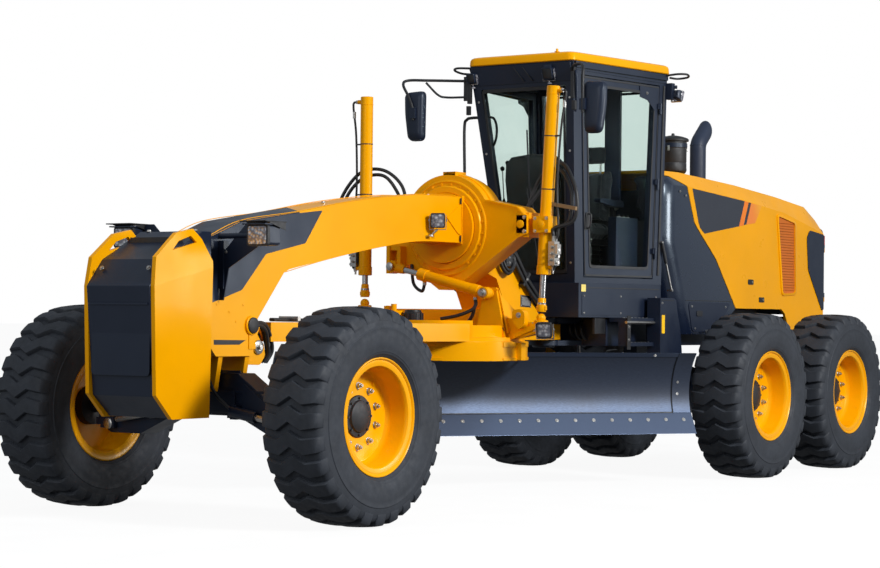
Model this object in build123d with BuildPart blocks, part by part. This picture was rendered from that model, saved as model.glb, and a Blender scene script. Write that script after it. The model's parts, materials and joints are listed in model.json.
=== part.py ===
"""Motor grader: rear unit with cab, engine and tandem wheels, articulated to a front frame that
carries the drawbar, circle and blade.  Millimetres, +X forward, +Y to the machine's left, +Z up,
origin on the ground at the middle of the machine's length and width."""
from build123d import *
from math import atan2, cos, degrees, hypot, radians, sin
import os

# ---------------------------------------------------------------- driving dimensions
FRONT_AXLE_X = 3490          # front axle ahead of the origin
WHEELBASE = 6140             # front axle to the middle of the tandems
TANDEM_SPACING = 1540        # between the two wheels of one tandem
FRONT_TRACK = 2200
REAR_TRACK = 2140
TYRE_RADIUS = 665
TYRE_WIDTH = 445
TREAD_WIDTH = 390
BEAD_RADIUS = 318
RIM_FLANGE_RADIUS = 360
RIM_HALF_WIDTH = 190
RIM_WALL = 22
RIM_FLANGE = 12              # thickness of the flange
DISC_OUT = 20                # wheel disc's outer face, outboard of the tyre's middle
DISC_THICKNESS = 22
HUB_RADIUS = 128
HUB_FRONT = 36               # hub cap's reach outboard of the tyre's middle
HUB_BACK = 60                # hub's inner face, inboard of the tyre's middle

FIT = 0.05                   # radial clearance of a shaft in its bore
SEAT = 0.3                   # gap between faces that rest on each other
ROOM = 6                     # gap between pieces that move past each other

FRONT_X = 4400               # foremost and rearmost points
REAR_X = -4400
ARTICULATION_X = -430
HITCH_RADIUS = 130
HITCH_PIN_RADIUS = 60
HITCH_LOW, HITCH_HIGH = 1105, 1225
LUG = 40                     # thickness of a hitch lug

BEAM_HALF_WIDTH = 160
COLUMN_HALF_WIDTH = 200
BEAM_END_X = 980
HUB_Z = 1920                 # axis of the saddle bearing
SADDLE_HUB_RADIUS = 255
SADDLE_RADIUS = 390
SADDLE_REAR_X, SADDLE_FRONT_X = 740, 930

BALL = (3200, 0, 1065)       # front ball of the drawbar
CIRCLE_X, CIRCLE_Y = 870, -60
CIRCLE_RADIUS = 620
CIRCLE_BORE = 470
CIRCLE_LOW, CIRCLE_TOP = 960, 1100
DRAWBAR_YAW = degrees(atan2(CIRCLE_Y - BALL[1], CIRCLE_X - BALL[0])) + 180
DRAWBAR_REACH = hypot(CIRCLE_X - BALL[0], CIRCLE_Y - BALL[1])

BLADE_ANGLE = 56             # the blade's left end trails by this angle
BLADE_LENGTH = 3360
BLADE_SHIFT = 390            # blade's middle, left of the circle's axis
EDGE_X = 50                  # cutting edge ahead of the circle's axis
EDGE_Z = 400
BLADE_TOP_Z = 1015
BLADE_THICKNESS = 22
BLADE_SAGITTA = 125          # hollow of the blade's front face
PIVOT_X, PIVOT_Z = -230, 540     # tip pivot, in the blade's frame

LIFT_X = 840
LIFT_Y = 800
SADDLE_END = LIFT_Y - 110    # half span of the saddle's arms
TRUNNION_Z = 1935
BARREL_RADIUS = 47
ROD_RADIUS = 22

AXLE_Z = TYRE_RADIUS
LEAN_Y, LEAN_Z = 800, 560    # wheel lean pivots
KINGPIN_Y = 930
KINGPIN_RADIUS = 25

CAB_FRONT_TOP_X, CAB_FRONT_LOW_X = -60, -336
CAB_REAR_X = -1270
CAB_FLOOR_Z, CAB_SILL_Z, CAB_TOP_Z = 1280, 1545, 3225
CAB_WALL = 60
ROOF_TOP_Z = 3300

HOOD_HALF_WIDTH = 580
HOOD_WALL = 25
FRAME_LOW, FRAME_HIGH = 1060, 1270
RAIL_Y, RAIL_WIDTH = 400, 100

HINGE_PIN, HINGE_KNUCKLE = 8, 13

SIDES = (("left", 1), ("right", -1))

os.makedirs("parts", exist_ok=True)


def save(block, label):
    """Label a finished piece and write its STEP file."""
    block.part.label = label
    export_step(block.part, f"parts/{label}.step")


def side_plane(y):
    """Plane whose sketch axes are the machine's X and Z, at this Y, facing the right side."""
    return Plane(origin=(0, y, 0), x_dir=(1, 0, 0), z_dir=(0, -1, 0))


def cross_plane(x):
    """Plane whose sketch axes are the machine's Y and Z, at this X, facing forward."""
    return Plane(origin=(x, 0, 0), x_dir=(0, 1, 0), z_dir=(1, 0, 0))


def drawbar_plane(z):
    """Level plane along the drawbar: X forward from the circle's axis to the ball."""
    forward = (cos(radians(DRAWBAR_YAW)), sin(radians(DRAWBAR_YAW)), 0)
    return Plane(origin=(BALL[0], BALL[1], z), x_dir=forward, z_dir=(0, 0, 1))


def blade_level(z):
    """Level plane at the circle's axis: X ahead of the blade, Y along it to its left end."""
    facing = (cos(radians(BLADE_ANGLE)), sin(radians(BLADE_ANGLE)), 0)
    return Plane(origin=(CIRCLE_X, CIRCLE_Y, z), x_dir=facing, z_dir=(0, 0, 1))


def blade_section(y):
    """Upright plane across the blade at y along it: sketch axes ahead of the blade, and up."""
    facing = blade_level(0).x_dir
    along = blade_level(0).y_dir
    start = Vector(CIRCLE_X, CIRCLE_Y, 0) + along * y
    return Plane(origin=start, x_dir=facing, z_dir=-along)


def outline(points):
    """Closed polygon in the current sketch."""
    Polygon(*points, align=None)


def bar_between(start, end, radius, mode=Mode.ADD):
    """Round bar, or bore, from one point to another, in the current part."""
    run = Vector(*end) - Vector(*start)
    with Locations(Plane(origin=start, z_dir=run)):
        Cylinder(radius, run.length, align=(Align.CENTER, Align.CENTER, Align.MIN), mode=mode)


# ---------------------------------------------------------------- wheels
def make_wheel(name, x, y, side, bore_radius):
    """Tyre and dished rim; side is +1 on the left.  The hub's bore is blind, from inboard."""
    axle = Plane(origin=(x, y, AXLE_Z), x_dir=(0, side, 0), z_dir=(side, 0, 0))
    axis = Axis((x, y, AXLE_Z), (0, 1, 0))
    half = TYRE_WIDTH / 2
    bead = RIM_HALF_WIDTH - RIM_FLANGE - SEAT
    flange_top = RIM_FLANGE_RADIUS + SEAT
    tread = TREAD_WIDTH / 2
    with BuildPart() as tyre:
        with BuildSketch(axle):
            with BuildLine():
                Polyline((-RIM_HALF_WIDTH, flange_top), (-bead, flange_top), (-bead, BEAD_RADIUS),
                         (bead, BEAD_RADIUS), (bead, flange_top), (RIM_HALF_WIDTH, flange_top))
                for s in (1, -1):
                    ThreePointArc((s * RIM_HALF_WIDTH, flange_top), (s * half, 480),
                                  (s * (half - 12), 570))
                    ThreePointArc((s * (half - 12), 570), (s * tread, 632),
                                  (s * (tread - 45), TYRE_RADIUS))
                Line((tread - 45, TYRE_RADIUS), (45 - tread, TYRE_RADIUS))
            make_face()
        revolve(axis=axis)
    save(tyre, f"{name}_tyre")

    barrel = BEAD_RADIUS - SEAT
    inner = RIM_HALF_WIDTH - RIM_FLANGE
    with BuildPart() as rim:
        with BuildSketch(axle):
            outline([(-RIM_HALF_WIDTH, RIM_FLANGE_RADIUS), (-inner, RIM_FLANGE_RADIUS),
                     (-inner, barrel), (inner, barrel),
                     (inner, RIM_FLANGE_RADIUS), (RIM_HALF_WIDTH, RIM_FLANGE_RADIUS),
                     (RIM_HALF_WIDTH, barrel - RIM_WALL), (-RIM_HALF_WIDTH, barrel - RIM_WALL)])
            outline([(-HUB_BACK, 0), (-HUB_BACK, HUB_RADIUS), (DISC_OUT - DISC_THICKNESS, HUB_RADIUS),
                     (DISC_OUT - DISC_THICKNESS, barrel - 2), (DISC_OUT, barrel - 2),
                     (DISC_OUT, HUB_RADIUS), (HUB_FRONT, HUB_RADIUS - 12), (HUB_FRONT, 0)])
        revolve(axis=axis)
        with BuildSketch(Plane(origin=(x, y - side * 120, AXLE_Z), x_dir=(1, 0, 0),
                               z_dir=(0, side, 0))):
            Circle(bore_radius + FIT)
        extrude(amount=120, mode=Mode.SUBTRACT)
    save(rim, f"{name}_rim")


SPINDLE_RADIUS = {"front": 45, "rear": 70}
REAR_WHEELS = (("tandem_front", FRONT_AXLE_X - WHEELBASE + TANDEM_SPACING / 2),
               ("tandem_rear", FRONT_AXLE_X - WHEELBASE - TANDEM_SPACING / 2))
TANDEM_X = FRONT_AXLE_X - WHEELBASE
for side_name, side in SIDES:
    make_wheel(f"front_{side_name}", FRONT_AXLE_X, side * FRONT_TRACK / 2, side,
               SPINDLE_RADIUS["front"])
    for row, x in REAR_WHEELS:
        make_wheel(f"{row}_{side_name}", x, side * REAR_TRACK / 2, side, SPINDLE_RADIUS["rear"])

# ---------------------------------------------------------------- tandems and rear axle
TANDEM_IN, TANDEM_OUT = 620, 800
TANDEM_HALF_HEIGHT = 200
for side_name, side in SIDES:
    with BuildPart() as tandem_case:
        with BuildSketch(side_plane(side * TANDEM_IN)):
            with Locations((TANDEM_X, AXLE_Z)):
                SlotCenterToCenter(TANDEM_SPACING, 2 * TANDEM_HALF_HEIGHT)
        extrude(amount=-side * (TANDEM_OUT - TANDEM_IN))
        for row, x in REAR_WHEELS:
            wheel_y = side * REAR_TRACK / 2
            bar_between((x, side * (TANDEM_OUT - 1), AXLE_Z),
                        (x, wheel_y - side * (HUB_BACK + ROOM), AXLE_Z), 150)
            bar_between((x, side * TANDEM_OUT, AXLE_Z), (x, wheel_y - side * 5, AXLE_Z),
                        SPINDLE_RADIUS["rear"])
    save(tandem_case, f"tandem_case_{side_name}")

with BuildPart() as rear_axle:
    bar_between((TANDEM_X, SEAT - TANDEM_IN, AXLE_Z), (TANDEM_X, TANDEM_IN - SEAT, AXLE_Z), 120)
    bar_between((TANDEM_X - 130, 0, AXLE_Z), (TANDEM_X + 330, 0, AXLE_Z), 210)
    for side_name, side in SIDES:
        with BuildSketch(Plane.XY.offset(AXLE_Z)):
            with Locations((TANDEM_X, side * RAIL_Y)):
                Rectangle(300, 130)
        extrude(amount=FRAME_LOW - SEAT - AXLE_Z)
save(rear_axle, "rear_axle")

# ---------------------------------------------------------------- rear frame
REAR_FRAME_FRONT = ARTICULATION_X - HITCH_RADIUS - 60
with BuildPart() as rear_frame:
    for side_name, side in SIDES:
        with BuildSketch(side_plane(side * (RAIL_Y - RAIL_WIDTH / 2))):
            outline([(REAR_FRAME_FRONT - 30, FRAME_LOW), (REAR_FRAME_FRONT - 30, FRAME_HIGH),
                     (REAR_X + 70, FRAME_HIGH), (REAR_X + 70, FRAME_LOW)])
        extrude(amount=-side * RAIL_WIDTH)
    with BuildSketch(cross_plane(REAR_FRAME_FRONT)):
        with Locations((0, (FRAME_LOW + FRAME_HIGH) / 2)):
            Rectangle(2 * RAIL_Y + RAIL_WIDTH, FRAME_HIGH - FRAME_LOW)
    extrude(amount=-60)
    for x in (TANDEM_X + 260, TANDEM_X - 260):
        with BuildSketch(cross_plane(x)):
            with Locations((0, (FRAME_LOW + FRAME_HIGH) / 2)):
                Rectangle(2 * RAIL_Y, 120)
        extrude(amount=60)
    for low, high in ((HITCH_HIGH + ROOM, HITCH_HIGH + ROOM + LUG),
                      (HITCH_LOW - ROOM - LUG, HITCH_LOW - ROOM)):
        with BuildSketch(Plane.XY.offset(low)):
            with Locations((ARTICULATION_X, 0)):
                Circle(HITCH_RADIUS)
            outline([(ARTICULATION_X, HITCH_RADIUS), (REAR_FRAME_FRONT - 20, 240),
                     (REAR_FRAME_FRONT - 20, -240), (ARTICULATION_X, -HITCH_RADIUS)])
        extrude(amount=high - low)
    bar_between((ARTICULATION_X, 0, HITCH_LOW - LUG), (ARTICULATION_X, 0, HITCH_HIGH + LUG),
                HITCH_PIN_RADIUS)
save(rear_frame, "rear_frame")

BUMPER_LOW, BUMPER_HIGH = 920, 1310
TOW_RECESS_HALF_WIDTH = 110
TOW_RECESS_HEIGHT = 260      # open below, so that the pin goes in from there
TOW_PIN_HOLE = 22
with BuildPart() as rear_bumper:
    with BuildSketch(cross_plane(REAR_X)):
        with Locations((0, (BUMPER_LOW + BUMPER_HIGH) / 2)):
            RectangleRounded(2 * 560, BUMPER_HIGH - BUMPER_LOW, 40)
        with Locations((0, BUMPER_LOW + TOW_RECESS_HEIGHT / 2 - 5)):
            Rectangle(2 * TOW_RECESS_HALF_WIDTH, TOW_RECESS_HEIGHT + 10, mode=Mode.SUBTRACT)
    extrude(amount=70 - SEAT)
    for z in (1000, 1060):
        with BuildSketch(Plane.XY.offset(z)):
            with Locations((REAR_X + 66, 0)):
                Rectangle(128, 2 * TOW_RECESS_HALF_WIDTH + 10)
                with Locations((-31, 0)):
                    Circle(TOW_PIN_HOLE, mode=Mode.SUBTRACT)
        extrude(amount=24)
save(rear_bumper, "rear_bumper")

# ---------------------------------------------------------------- engine, hood and tank covers
HOOD_LOW_Z = 1372
# Each row is a station: X, height of the top, and the shoulder's drop to the side wall.
HOOD_TOP = ((-1290, 2470, 110), (-1690, 2475, 118), (-2700, 2425, 128), (-3500, 2365, 142),
            (-4090, 2305, 190), (-4330, 2195, 130))
# Joint line between the tank cover ahead and the hood behind, as X and Z, from the cab down.
HOOD_EDGE = ((-1260, 2440), (-1475, 2430), (-1600, 2392), (-1690, 2362), (-1823, 2068),
             (-1894, 2009), (-2205, 1782), (-2575, HOOD_LOW_Z))
HOOD_REAR_X = -4330
GRILLE_HALF_WIDTH = HOOD_HALF_WIDTH - 30
GRILLE_HINGE_X, GRILLE_HINGE_Y = -4358, HOOD_HALF_WIDTH - 14
GRILLE_HINGE_LEVELS = (1450, 1900)


def shell_section(half_width, top_z, drop, low_z, wall):
    """Upside-down U across the machine, open below, with sloping shoulders."""
    inner = half_width - wall
    outline([(half_width, low_z), (half_width, top_z - drop), (half_width - 90, top_z),
             (90 - half_width, top_z), (-half_width, top_z - drop), (-half_width, low_z),
             (-inner, low_z), (-inner, top_z - drop - wall / 2),
             (90 + wall / 2 - half_width, top_z - wall),
             (half_width - 90 - wall / 2, top_z - wall),
             (inner, top_z - drop - wall / 2), (inner, low_z)])


with BuildPart() as engine_hood:
    for (x0, z0, drop0), (x1, z1, drop1) in zip(HOOD_TOP, HOOD_TOP[1:]):
        with BuildSketch(cross_plane(x0)):
            shell_section(HOOD_HALF_WIDTH, z0, drop0, HOOD_LOW_Z, HOOD_WALL)
        with BuildSketch(cross_plane(x1)):
            shell_section(HOOD_HALF_WIDTH, z1, drop1, HOOD_LOW_Z, HOOD_WALL)
        loft(ruled=True)
    with BuildSketch(side_plane(-HOOD_HALF_WIDTH - 50)):
        outline([*HOOD_EDGE, (HOOD_EDGE[-1][0], 1200), (HOOD_EDGE[0][0], 1200)])
    extrude(amount=-2 * HOOD_HALF_WIDTH - 100, mode=Mode.SUBTRACT)
    for z in GRILLE_HINGE_LEVELS:
        bar_between((GRILLE_HINGE_X, GRILLE_HINGE_Y, z), (GRILLE_HINGE_X, GRILLE_HINGE_Y, z + 40), 12)
        bar_between((GRILLE_HINGE_X, GRILLE_HINGE_Y, z), (GRILLE_HINGE_X, GRILLE_HINGE_Y, z + 80),
                    HINGE_PIN)
        with BuildSketch(Plane.XY.offset(z)):
            outline([(GRILLE_HINGE_X, GRILLE_HINGE_Y - 6), (HOOD_REAR_X + 10, GRILLE_HINGE_Y - 6),
                     (HOOD_REAR_X + 10, GRILLE_HINGE_Y + 8), (GRILLE_HINGE_X, GRILLE_HINGE_Y + 8)])
        extrude(amount=40)
save(engine_hood, "engine_hood")

COVER_LOW_Z = 1190
COVER_HALF_WIDTH = HOOD_HALF_WIDTH - 1
with BuildPart() as tank_cover:
    for (x0, z0, drop0), (x1, z1, drop1) in zip(HOOD_TOP[:2], HOOD_TOP[1:3]):
        with BuildSketch(cross_plane(x0)):
            shell_section(COVER_HALF_WIDTH, z0 - 1, drop0, COVER_LOW_Z, HOOD_WALL)
        with BuildSketch(cross_plane(x1)):
            shell_section(COVER_HALF_WIDTH, z1 - 1, drop1, COVER_LOW_Z, HOOD_WALL)
        loft(ruled=True)
    with BuildSketch(cross_plane(HOOD_TOP[0][0])):
        with Locations((0, (FRAME_HIGH + SEAT + 2355) / 2)):
            Rectangle(2 * COVER_HALF_WIDTH - 20, 2355 - FRAME_HIGH - SEAT)
    extrude(amount=-HOOD_WALL)
    with BuildSketch(side_plane(-HOOD_HALF_WIDTH - 50)):
        outline([*((x + ROOM, z - ROOM) for x, z in HOOD_EDGE), (-2200, 1150), (-2800, 1150),
                 (-2800, 2600), (HOOD_EDGE[0][0] + ROOM, 2600)])
    extrude(amount=-2 * HOOD_HALF_WIDTH - 100, mode=Mode.SUBTRACT)
save(tank_cover, "tank_cover")

with BuildPart() as engine_block:
    with BuildSketch(Plane.XY.offset(FRAME_HIGH + SEAT)):
        with Locations((-2900, 0)):
            Rectangle(1300, 620)
        for x in (-3300, -2500):
            with Locations((x, 0)):
                Rectangle(120, 2 * RAIL_Y)
    extrude(amount=40)
    with BuildSketch(Plane.XY.offset(FRAME_HIGH + 40)):
        with Locations((-2900, 0)):
            Rectangle(1300, 620)
    extrude(amount=660)
save(engine_block, "engine_block")

GRILLE_X = REAR_X + 20
with BuildPart() as rear_grille:
    with BuildSketch(cross_plane(GRILLE_X)):
        with Locations((0, (1330 + 2125) / 2)):
            RectangleRounded(2 * GRILLE_HALF_WIDTH, 2125 - 1330, 50)
    extrude(amount=HOOD_REAR_X - GRILLE_X - ROOM)
    for z in GRILLE_HINGE_LEVELS:
        bar_between((GRILLE_HINGE_X, GRILLE_HINGE_Y, z + 41), (GRILLE_HINGE_X, GRILLE_HINGE_Y, z + 81),
                    12)
        with BuildSketch(Plane.XY.offset(z + 41)):
            with Locations((GRILLE_HINGE_X, GRILLE_HINGE_Y - 13)):
                Rectangle(16, 26)
        extrude(amount=40)
        bar_between((GRILLE_HINGE_X, GRILLE_HINGE_Y, z), (GRILLE_HINGE_X, GRILLE_HINGE_Y, z + 120),
                    HINGE_PIN + FIT, Mode.SUBTRACT)
save(rear_grille, "rear_grille_door")

STACK_X, STACK_Y, STACK_TOP_Z = -3130, -87, 2835
STACK_FOOT_Z = 2398.3         # just clear of the hood's slope
STACK_END_X = STACK_X - 131   # upright cut across the bent end
with BuildPart() as exhaust:
    with BuildLine() as stack_path:
        FilletPolyline((STACK_X, STACK_Y, STACK_FOOT_Z), (STACK_X, STACK_Y, STACK_TOP_Z),
                       (STACK_X - 300, STACK_Y, STACK_TOP_Z + 270), radius=110)
    with BuildSketch(Plane(origin=(STACK_X, STACK_Y, STACK_FOOT_Z), z_dir=(0, 0, 1))):
        Circle(71)
    sweep(path=stack_path.line)
    with BuildSketch(side_plane(STACK_Y + 100)):
        outline([(STACK_END_X, STACK_TOP_Z - 100), (STACK_END_X, STACK_TOP_Z + 400),
                 (STACK_X - 500, STACK_TOP_Z + 400), (STACK_X - 500, STACK_TOP_Z - 100)])
    extrude(amount=200, mode=Mode.SUBTRACT)
save(exhaust, "exhaust_stack")

CLEANER_X, CLEANER_Y = -2450, 31
with BuildPart() as air_cleaner:
    bar_between((CLEANER_X, CLEANER_Y, 2442.1), (CLEANER_X, CLEANER_Y, 2541), 90)
    bar_between((CLEANER_X, CLEANER_Y, 2540), (CLEANER_X, CLEANER_Y, 2801), 118)
    bar_between((CLEANER_X, CLEANER_Y, 2800), (CLEANER_X, CLEANER_Y, 2840), 137)
save(air_cleaner, "air_cleaner")

# ---------------------------------------------------------------- cab
# Each row is a level: height, front X, half width at the front, half width at the rear.
CAB_LEVELS = ((CAB_SILL_Z, CAB_FRONT_LOW_X, 335, 575), (CAB_TOP_Z, CAB_FRONT_TOP_X, 470, 615))
PILLAR = 70
DOOR_GAP = 8


def cab_width(z, x):
    """Half width of the cab's outside at height z and station x."""
    (z0, f0, a0, b0), (z1, f1, a1, b1) = CAB_LEVELS
    t = (z - z0) / (z1 - z0)
    front, a, b = f0 + (f1 - f0) * t, a0 + (a1 - a0) * t, b0 + (b1 - b0) * t
    return a + (b - a) * (front - x) / (front - CAB_REAR_X)


def cab_front(z):
    """X of the windscreen plane at height z."""
    t = (z - CAB_SILL_Z) / (CAB_TOP_Z - CAB_SILL_Z)
    return CAB_FRONT_LOW_X + (CAB_FRONT_TOP_X - CAB_FRONT_LOW_X) * t


def cab_plan(z, inset):
    """The cab's plan at height z, moved in by inset all round."""
    front, rear = cab_front(z) - inset, CAB_REAR_X + inset
    outline([(front, cab_width(z, front) - inset), (rear, cab_width(z, rear) - inset),
             (rear, inset - cab_width(z, rear)), (front, inset - cab_width(z, front))])


def cab_block(low, high, inset):
    """Closed block of the cab's shape between two heights, moved in by inset at its sides."""
    with BuildPart() as block:
        for z in (low, high):
            with BuildSketch(Plane.XY.offset(z)):
                cab_plan(z, inset)
        loft(ruled=True)
    return block.part


DOOR_FRONT_MARGIN, DOOR_REAR_X = 90, CAB_REAR_X + 95
DOOR_LOW_Z, DOOR_HIGH_Z = CAB_SILL_Z + 45, CAB_TOP_Z - 95


def side_block(side, low, high, front_margin, rear_x, depth, start=0):
    """Four-sided block along one side wall, its outer face start mm outside the wall."""
    with BuildPart() as block:
        for z in (low, high):
            with BuildSketch(Plane.XY.offset(z)):
                front = cab_front(z) - front_margin
                outline([(front, side * (cab_width(z, front) + start)),
                         (rear_x, side * (cab_width(z, rear_x) + start)),
                         (rear_x, side * (cab_width(z, rear_x) + start - depth)),
                         (front, side * (cab_width(z, front) + start - depth))])
        loft(ruled=True)
    return block.part


def windscreen_block(low, high, w_inset, front_out, depth):
    """Block in the windscreen's plane, w_inset in from the pillars' outer faces."""
    with BuildPart() as block:
        for z in (low, high):
            with BuildSketch(Plane.XY.offset(z)):
                front = cab_front(z) + front_out
                w = cab_width(z, cab_front(z)) - w_inset
                outline([(front, w), (front - depth, w), (front - depth, -w), (front, -w)])
        loft(ruled=True)
    return block.part


def rear_window_block(low, high, w_inset, thickness):
    """Block in the rear wall, w_inset in from the rear pillars' outer faces."""
    with BuildPart() as block:
        for z in (low, high):
            with BuildSketch(Plane.XY.offset(z)):
                with Locations((CAB_REAR_X + 20, 0)):
                    Rectangle(thickness, 2 * (cab_width(z, CAB_REAR_X) - w_inset))
        loft(ruled=True)
    return block.part


HINGE_X = DOOR_REAR_X + DOOR_GAP / 2
HINGE_OUT = 16               # hinge line outside the wall
HINGE_LEVELS = (1750, 2300, 2900)
HINGE_LEAF = 40


def hinge_point(side, z):
    """Point at height z on the straight line that a cab door turns about."""
    low, high = cab_width(DOOR_LOW_Z, HINGE_X), cab_width(DOOR_HIGH_Z, HINGE_X)
    wall = low + (high - low) * (z - DOOR_LOW_Z) / (DOOR_HIGH_Z - DOOR_LOW_Z)
    return Vector(HINGE_X, side * (wall + HINGE_OUT), z)


def hinge_leaf(side, z, toward):
    """Half a hinge from height z: knuckle, and a leaf back (-1) to the pillar or on (1) to the door."""
    start, end = hinge_point(side, z), hinge_point(side, z + HINGE_LEAF)
    with BuildPart() as leaf:
        bar_between(start, end, HINGE_KNUCKLE)
        with BuildSketch(Plane(origin=start, x_dir=(1, 0, 0), z_dir=end - start)):
            with Locations((toward * 19, -side * 14)):
                Rectangle(30, 28)
            with Locations((toward * 6, 0)):
                Rectangle(12, 12)
        extrude(amount=HINGE_LEAF)
    return leaf.part


SCREEN_LOW, SCREEN_HIGH = CAB_SILL_Z + 70, CAB_TOP_Z - 180
REAR_WINDOW_LOW, REAR_WINDOW_HIGH = CAB_SILL_Z + 500, CAB_TOP_Z - 120
REAR_PILLAR = 90
with BuildPart() as cab_frame:
    add(cab_block(CAB_SILL_Z, CAB_TOP_Z, 0))
    add(cab_block(CAB_SILL_Z + CAB_WALL, CAB_TOP_Z - CAB_WALL, CAB_WALL), mode=Mode.SUBTRACT)
    for side_name, side in SIDES:
        add(side_block(side, DOOR_LOW_Z, DOOR_HIGH_Z, DOOR_FRONT_MARGIN, DOOR_REAR_X,
                       CAB_WALL + 60, 30), mode=Mode.SUBTRACT)
    add(windscreen_block(SCREEN_LOW, SCREEN_HIGH, PILLAR, 40, CAB_WALL + 80), mode=Mode.SUBTRACT)
    add(rear_window_block(REAR_WINDOW_LOW, REAR_WINDOW_HIGH, REAR_PILLAR, 200),
        mode=Mode.SUBTRACT)
    for side_name, side in SIDES:
        for z in HINGE_LEVELS:
            add(hinge_leaf(side, z, -1))
            bar_between(hinge_point(side, z), hinge_point(side, z + 2 * HINGE_LEAF), HINGE_PIN)
save(cab_frame, "cab_frame")

with BuildPart() as cab_base:
    with BuildSketch(Plane.XY.offset(CAB_FLOOR_Z)):
        outline([(-240, 430), (CAB_REAR_X, 575), (CAB_REAR_X, -575), (-240, -430)])
    extrude(amount=CAB_SILL_Z - SEAT - CAB_FLOOR_Z)
    with BuildSketch(Plane.XY.offset(CAB_FLOOR_Z)):
        outline([(-300, 380), (CAB_REAR_X + 60, 525), (CAB_REAR_X + 60, -525), (-300, -380)])
    extrude(amount=120, mode=Mode.SUBTRACT)
    with BuildSketch(Plane.XY.offset(FRAME_HIGH + SEAT)):
        for side_name, side in SIDES:
            for x in (-700, -1160):
                with Locations((x, side * RAIL_Y)):
                    Rectangle(120, 90)
    extrude(amount=CAB_FLOOR_Z + 130 - FRAME_HIGH - SEAT)
save(cab_base, "cab_base")

with BuildPart() as cab_roof:
    for z, grow in ((CAB_TOP_Z + SEAT, 0), (ROOF_TOP_Z, -35)):
        with BuildSketch(Plane.XY.offset(z)):
            front, rear = CAB_FRONT_TOP_X + 20 + grow, CAB_REAR_X - 20 - grow
            outline([(front, 480 + grow), (rear, 646 + grow), (rear, -646 - grow),
                     (front, -480 - grow)])
    loft(ruled=True)
save(cab_roof, "cab_roof")

GLASS = 8
with BuildPart() as cab_glass:
    add(windscreen_block(SCREEN_LOW + SEAT, SCREEN_HIGH - SEAT, PILLAR + SEAT, -15, GLASS))
    add(rear_window_block(REAR_WINDOW_LOW + SEAT, REAR_WINDOW_HIGH - SEAT, REAR_PILLAR + SEAT,
                          GLASS))
save(cab_glass, "cab_glass")

DOOR_THICKNESS = 45
for side_name, side in SIDES:
    low, high = DOOR_LOW_Z + DOOR_GAP, DOOR_HIGH_Z - DOOR_GAP
    with BuildPart() as door:
        add(side_block(side, low, high, DOOR_FRONT_MARGIN + DOOR_GAP, DOOR_REAR_X + DOOR_GAP,
                       DOOR_THICKNESS))
        add(side_block(side, low + 70, high - 60, DOOR_FRONT_MARGIN + DOOR_GAP + 60,
                       DOOR_REAR_X + DOOR_GAP + 60, DOOR_THICKNESS + 60, 30),
            mode=Mode.SUBTRACT)
        for z in HINGE_LEVELS:
            add(hinge_leaf(side, z + HINGE_LEAF + 1, 1))
            bar_between(hinge_point(side, z), hinge_point(side, z + 3 * HINGE_LEAF),
                        HINGE_PIN + FIT, Mode.SUBTRACT)
    save(door, f"door_{side_name}")
    with BuildPart() as door_glass:
        add(side_block(side, low + 70 + SEAT, high - 60 - SEAT,
                       DOOR_FRONT_MARGIN + DOOR_GAP + 60 + SEAT,
                       DOOR_REAR_X + DOOR_GAP + 60 + SEAT, GLASS, -18))
    save(door_glass, f"door_glass_{side_name}")

FLOOR_IN_Z = CAB_SILL_Z + CAB_WALL
with BuildPart() as seat:
    with BuildSketch(Plane.XY.offset(FLOOR_IN_Z + SEAT)):
        with Locations((-930, 0)):
            RectangleRounded(340, 360, 40)
    extrude(amount=300)
    with BuildSketch(Plane.XY.offset(FLOOR_IN_Z + 300)):
        with Locations((-900, 0)):
            RectangleRounded(500, 500, 60)
    extrude(amount=130)
    with BuildSketch(side_plane(240)):
        outline([(-1020, 1990), (-1150, 1990), (-1195, 2640), (-1110, 2640)])
    extrude(amount=480)
save(seat, "operator_seat")

with BuildPart() as console:
    with BuildSketch(side_plane(130)):
        outline([(-440, FLOOR_IN_Z + SEAT), (-560, FLOOR_IN_Z + SEAT), (-520, 2080), (-400, 2080)])
    extrude(amount=260)
    bar_between((-470, 0, 2060), (-572, 0, 2218), 35)
    with BuildSketch(Plane(origin=(-565, 0, 2200), z_dir=(-0.5, 0, 0.86))):
        Circle(200)
        Circle(172, mode=Mode.SUBTRACT)
        Rectangle(30, 380)
    extrude(amount=26)
save(console, "steering_console")

with BuildPart() as steps:
    for side_name, side in SIDES:
        with BuildSketch(Plane.XY.offset(CAB_FLOOR_Z - SEAT)):
            with Locations((-860, side * 560)):
                Rectangle(480, 160)
        extrude(amount=-30)
        for x in (-1080, -640):
            with BuildSketch(Plane.XY.offset(CAB_FLOOR_Z - SEAT)):
                with Locations((x, side * 600)):
                    Rectangle(40, 80)
            extrude(amount=-220)
        with BuildSketch(Plane.XY.offset(1060)):
            with Locations((-860, side * 600)):
                Rectangle(400, 80)
        extrude(amount=30)
save(steps, "cab_steps")

MIRROR_X, MIRROR_Y = 200, 820
MIRROR_LOW, MIRROR_HIGH = 2640, 3030
MIRROR_ARM_Z = 3118
with BuildPart() as mirrors:
    for side_name, side in SIDES:
        y = side * MIRROR_Y
        with BuildSketch(Plane.XY.offset(MIRROR_LOW)):
            with Locations((MIRROR_X, y)):
                RectangleRounded(60, 190, 25)
        extrude(amount=MIRROR_HIGH - MIRROR_LOW)
        bar_between((MIRROR_X - 5, y, MIRROR_HIGH - 20), (MIRROR_X - 5, y, MIRROR_ARM_Z + 12), 12)
        bar_between((MIRROR_X - 5, y, MIRROR_ARM_Z),
                    (-100, side * (cab_width(MIRROR_ARM_Z, -100) + 6.2), MIRROR_ARM_Z), 11)
save(mirrors, "mirrors")

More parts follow.
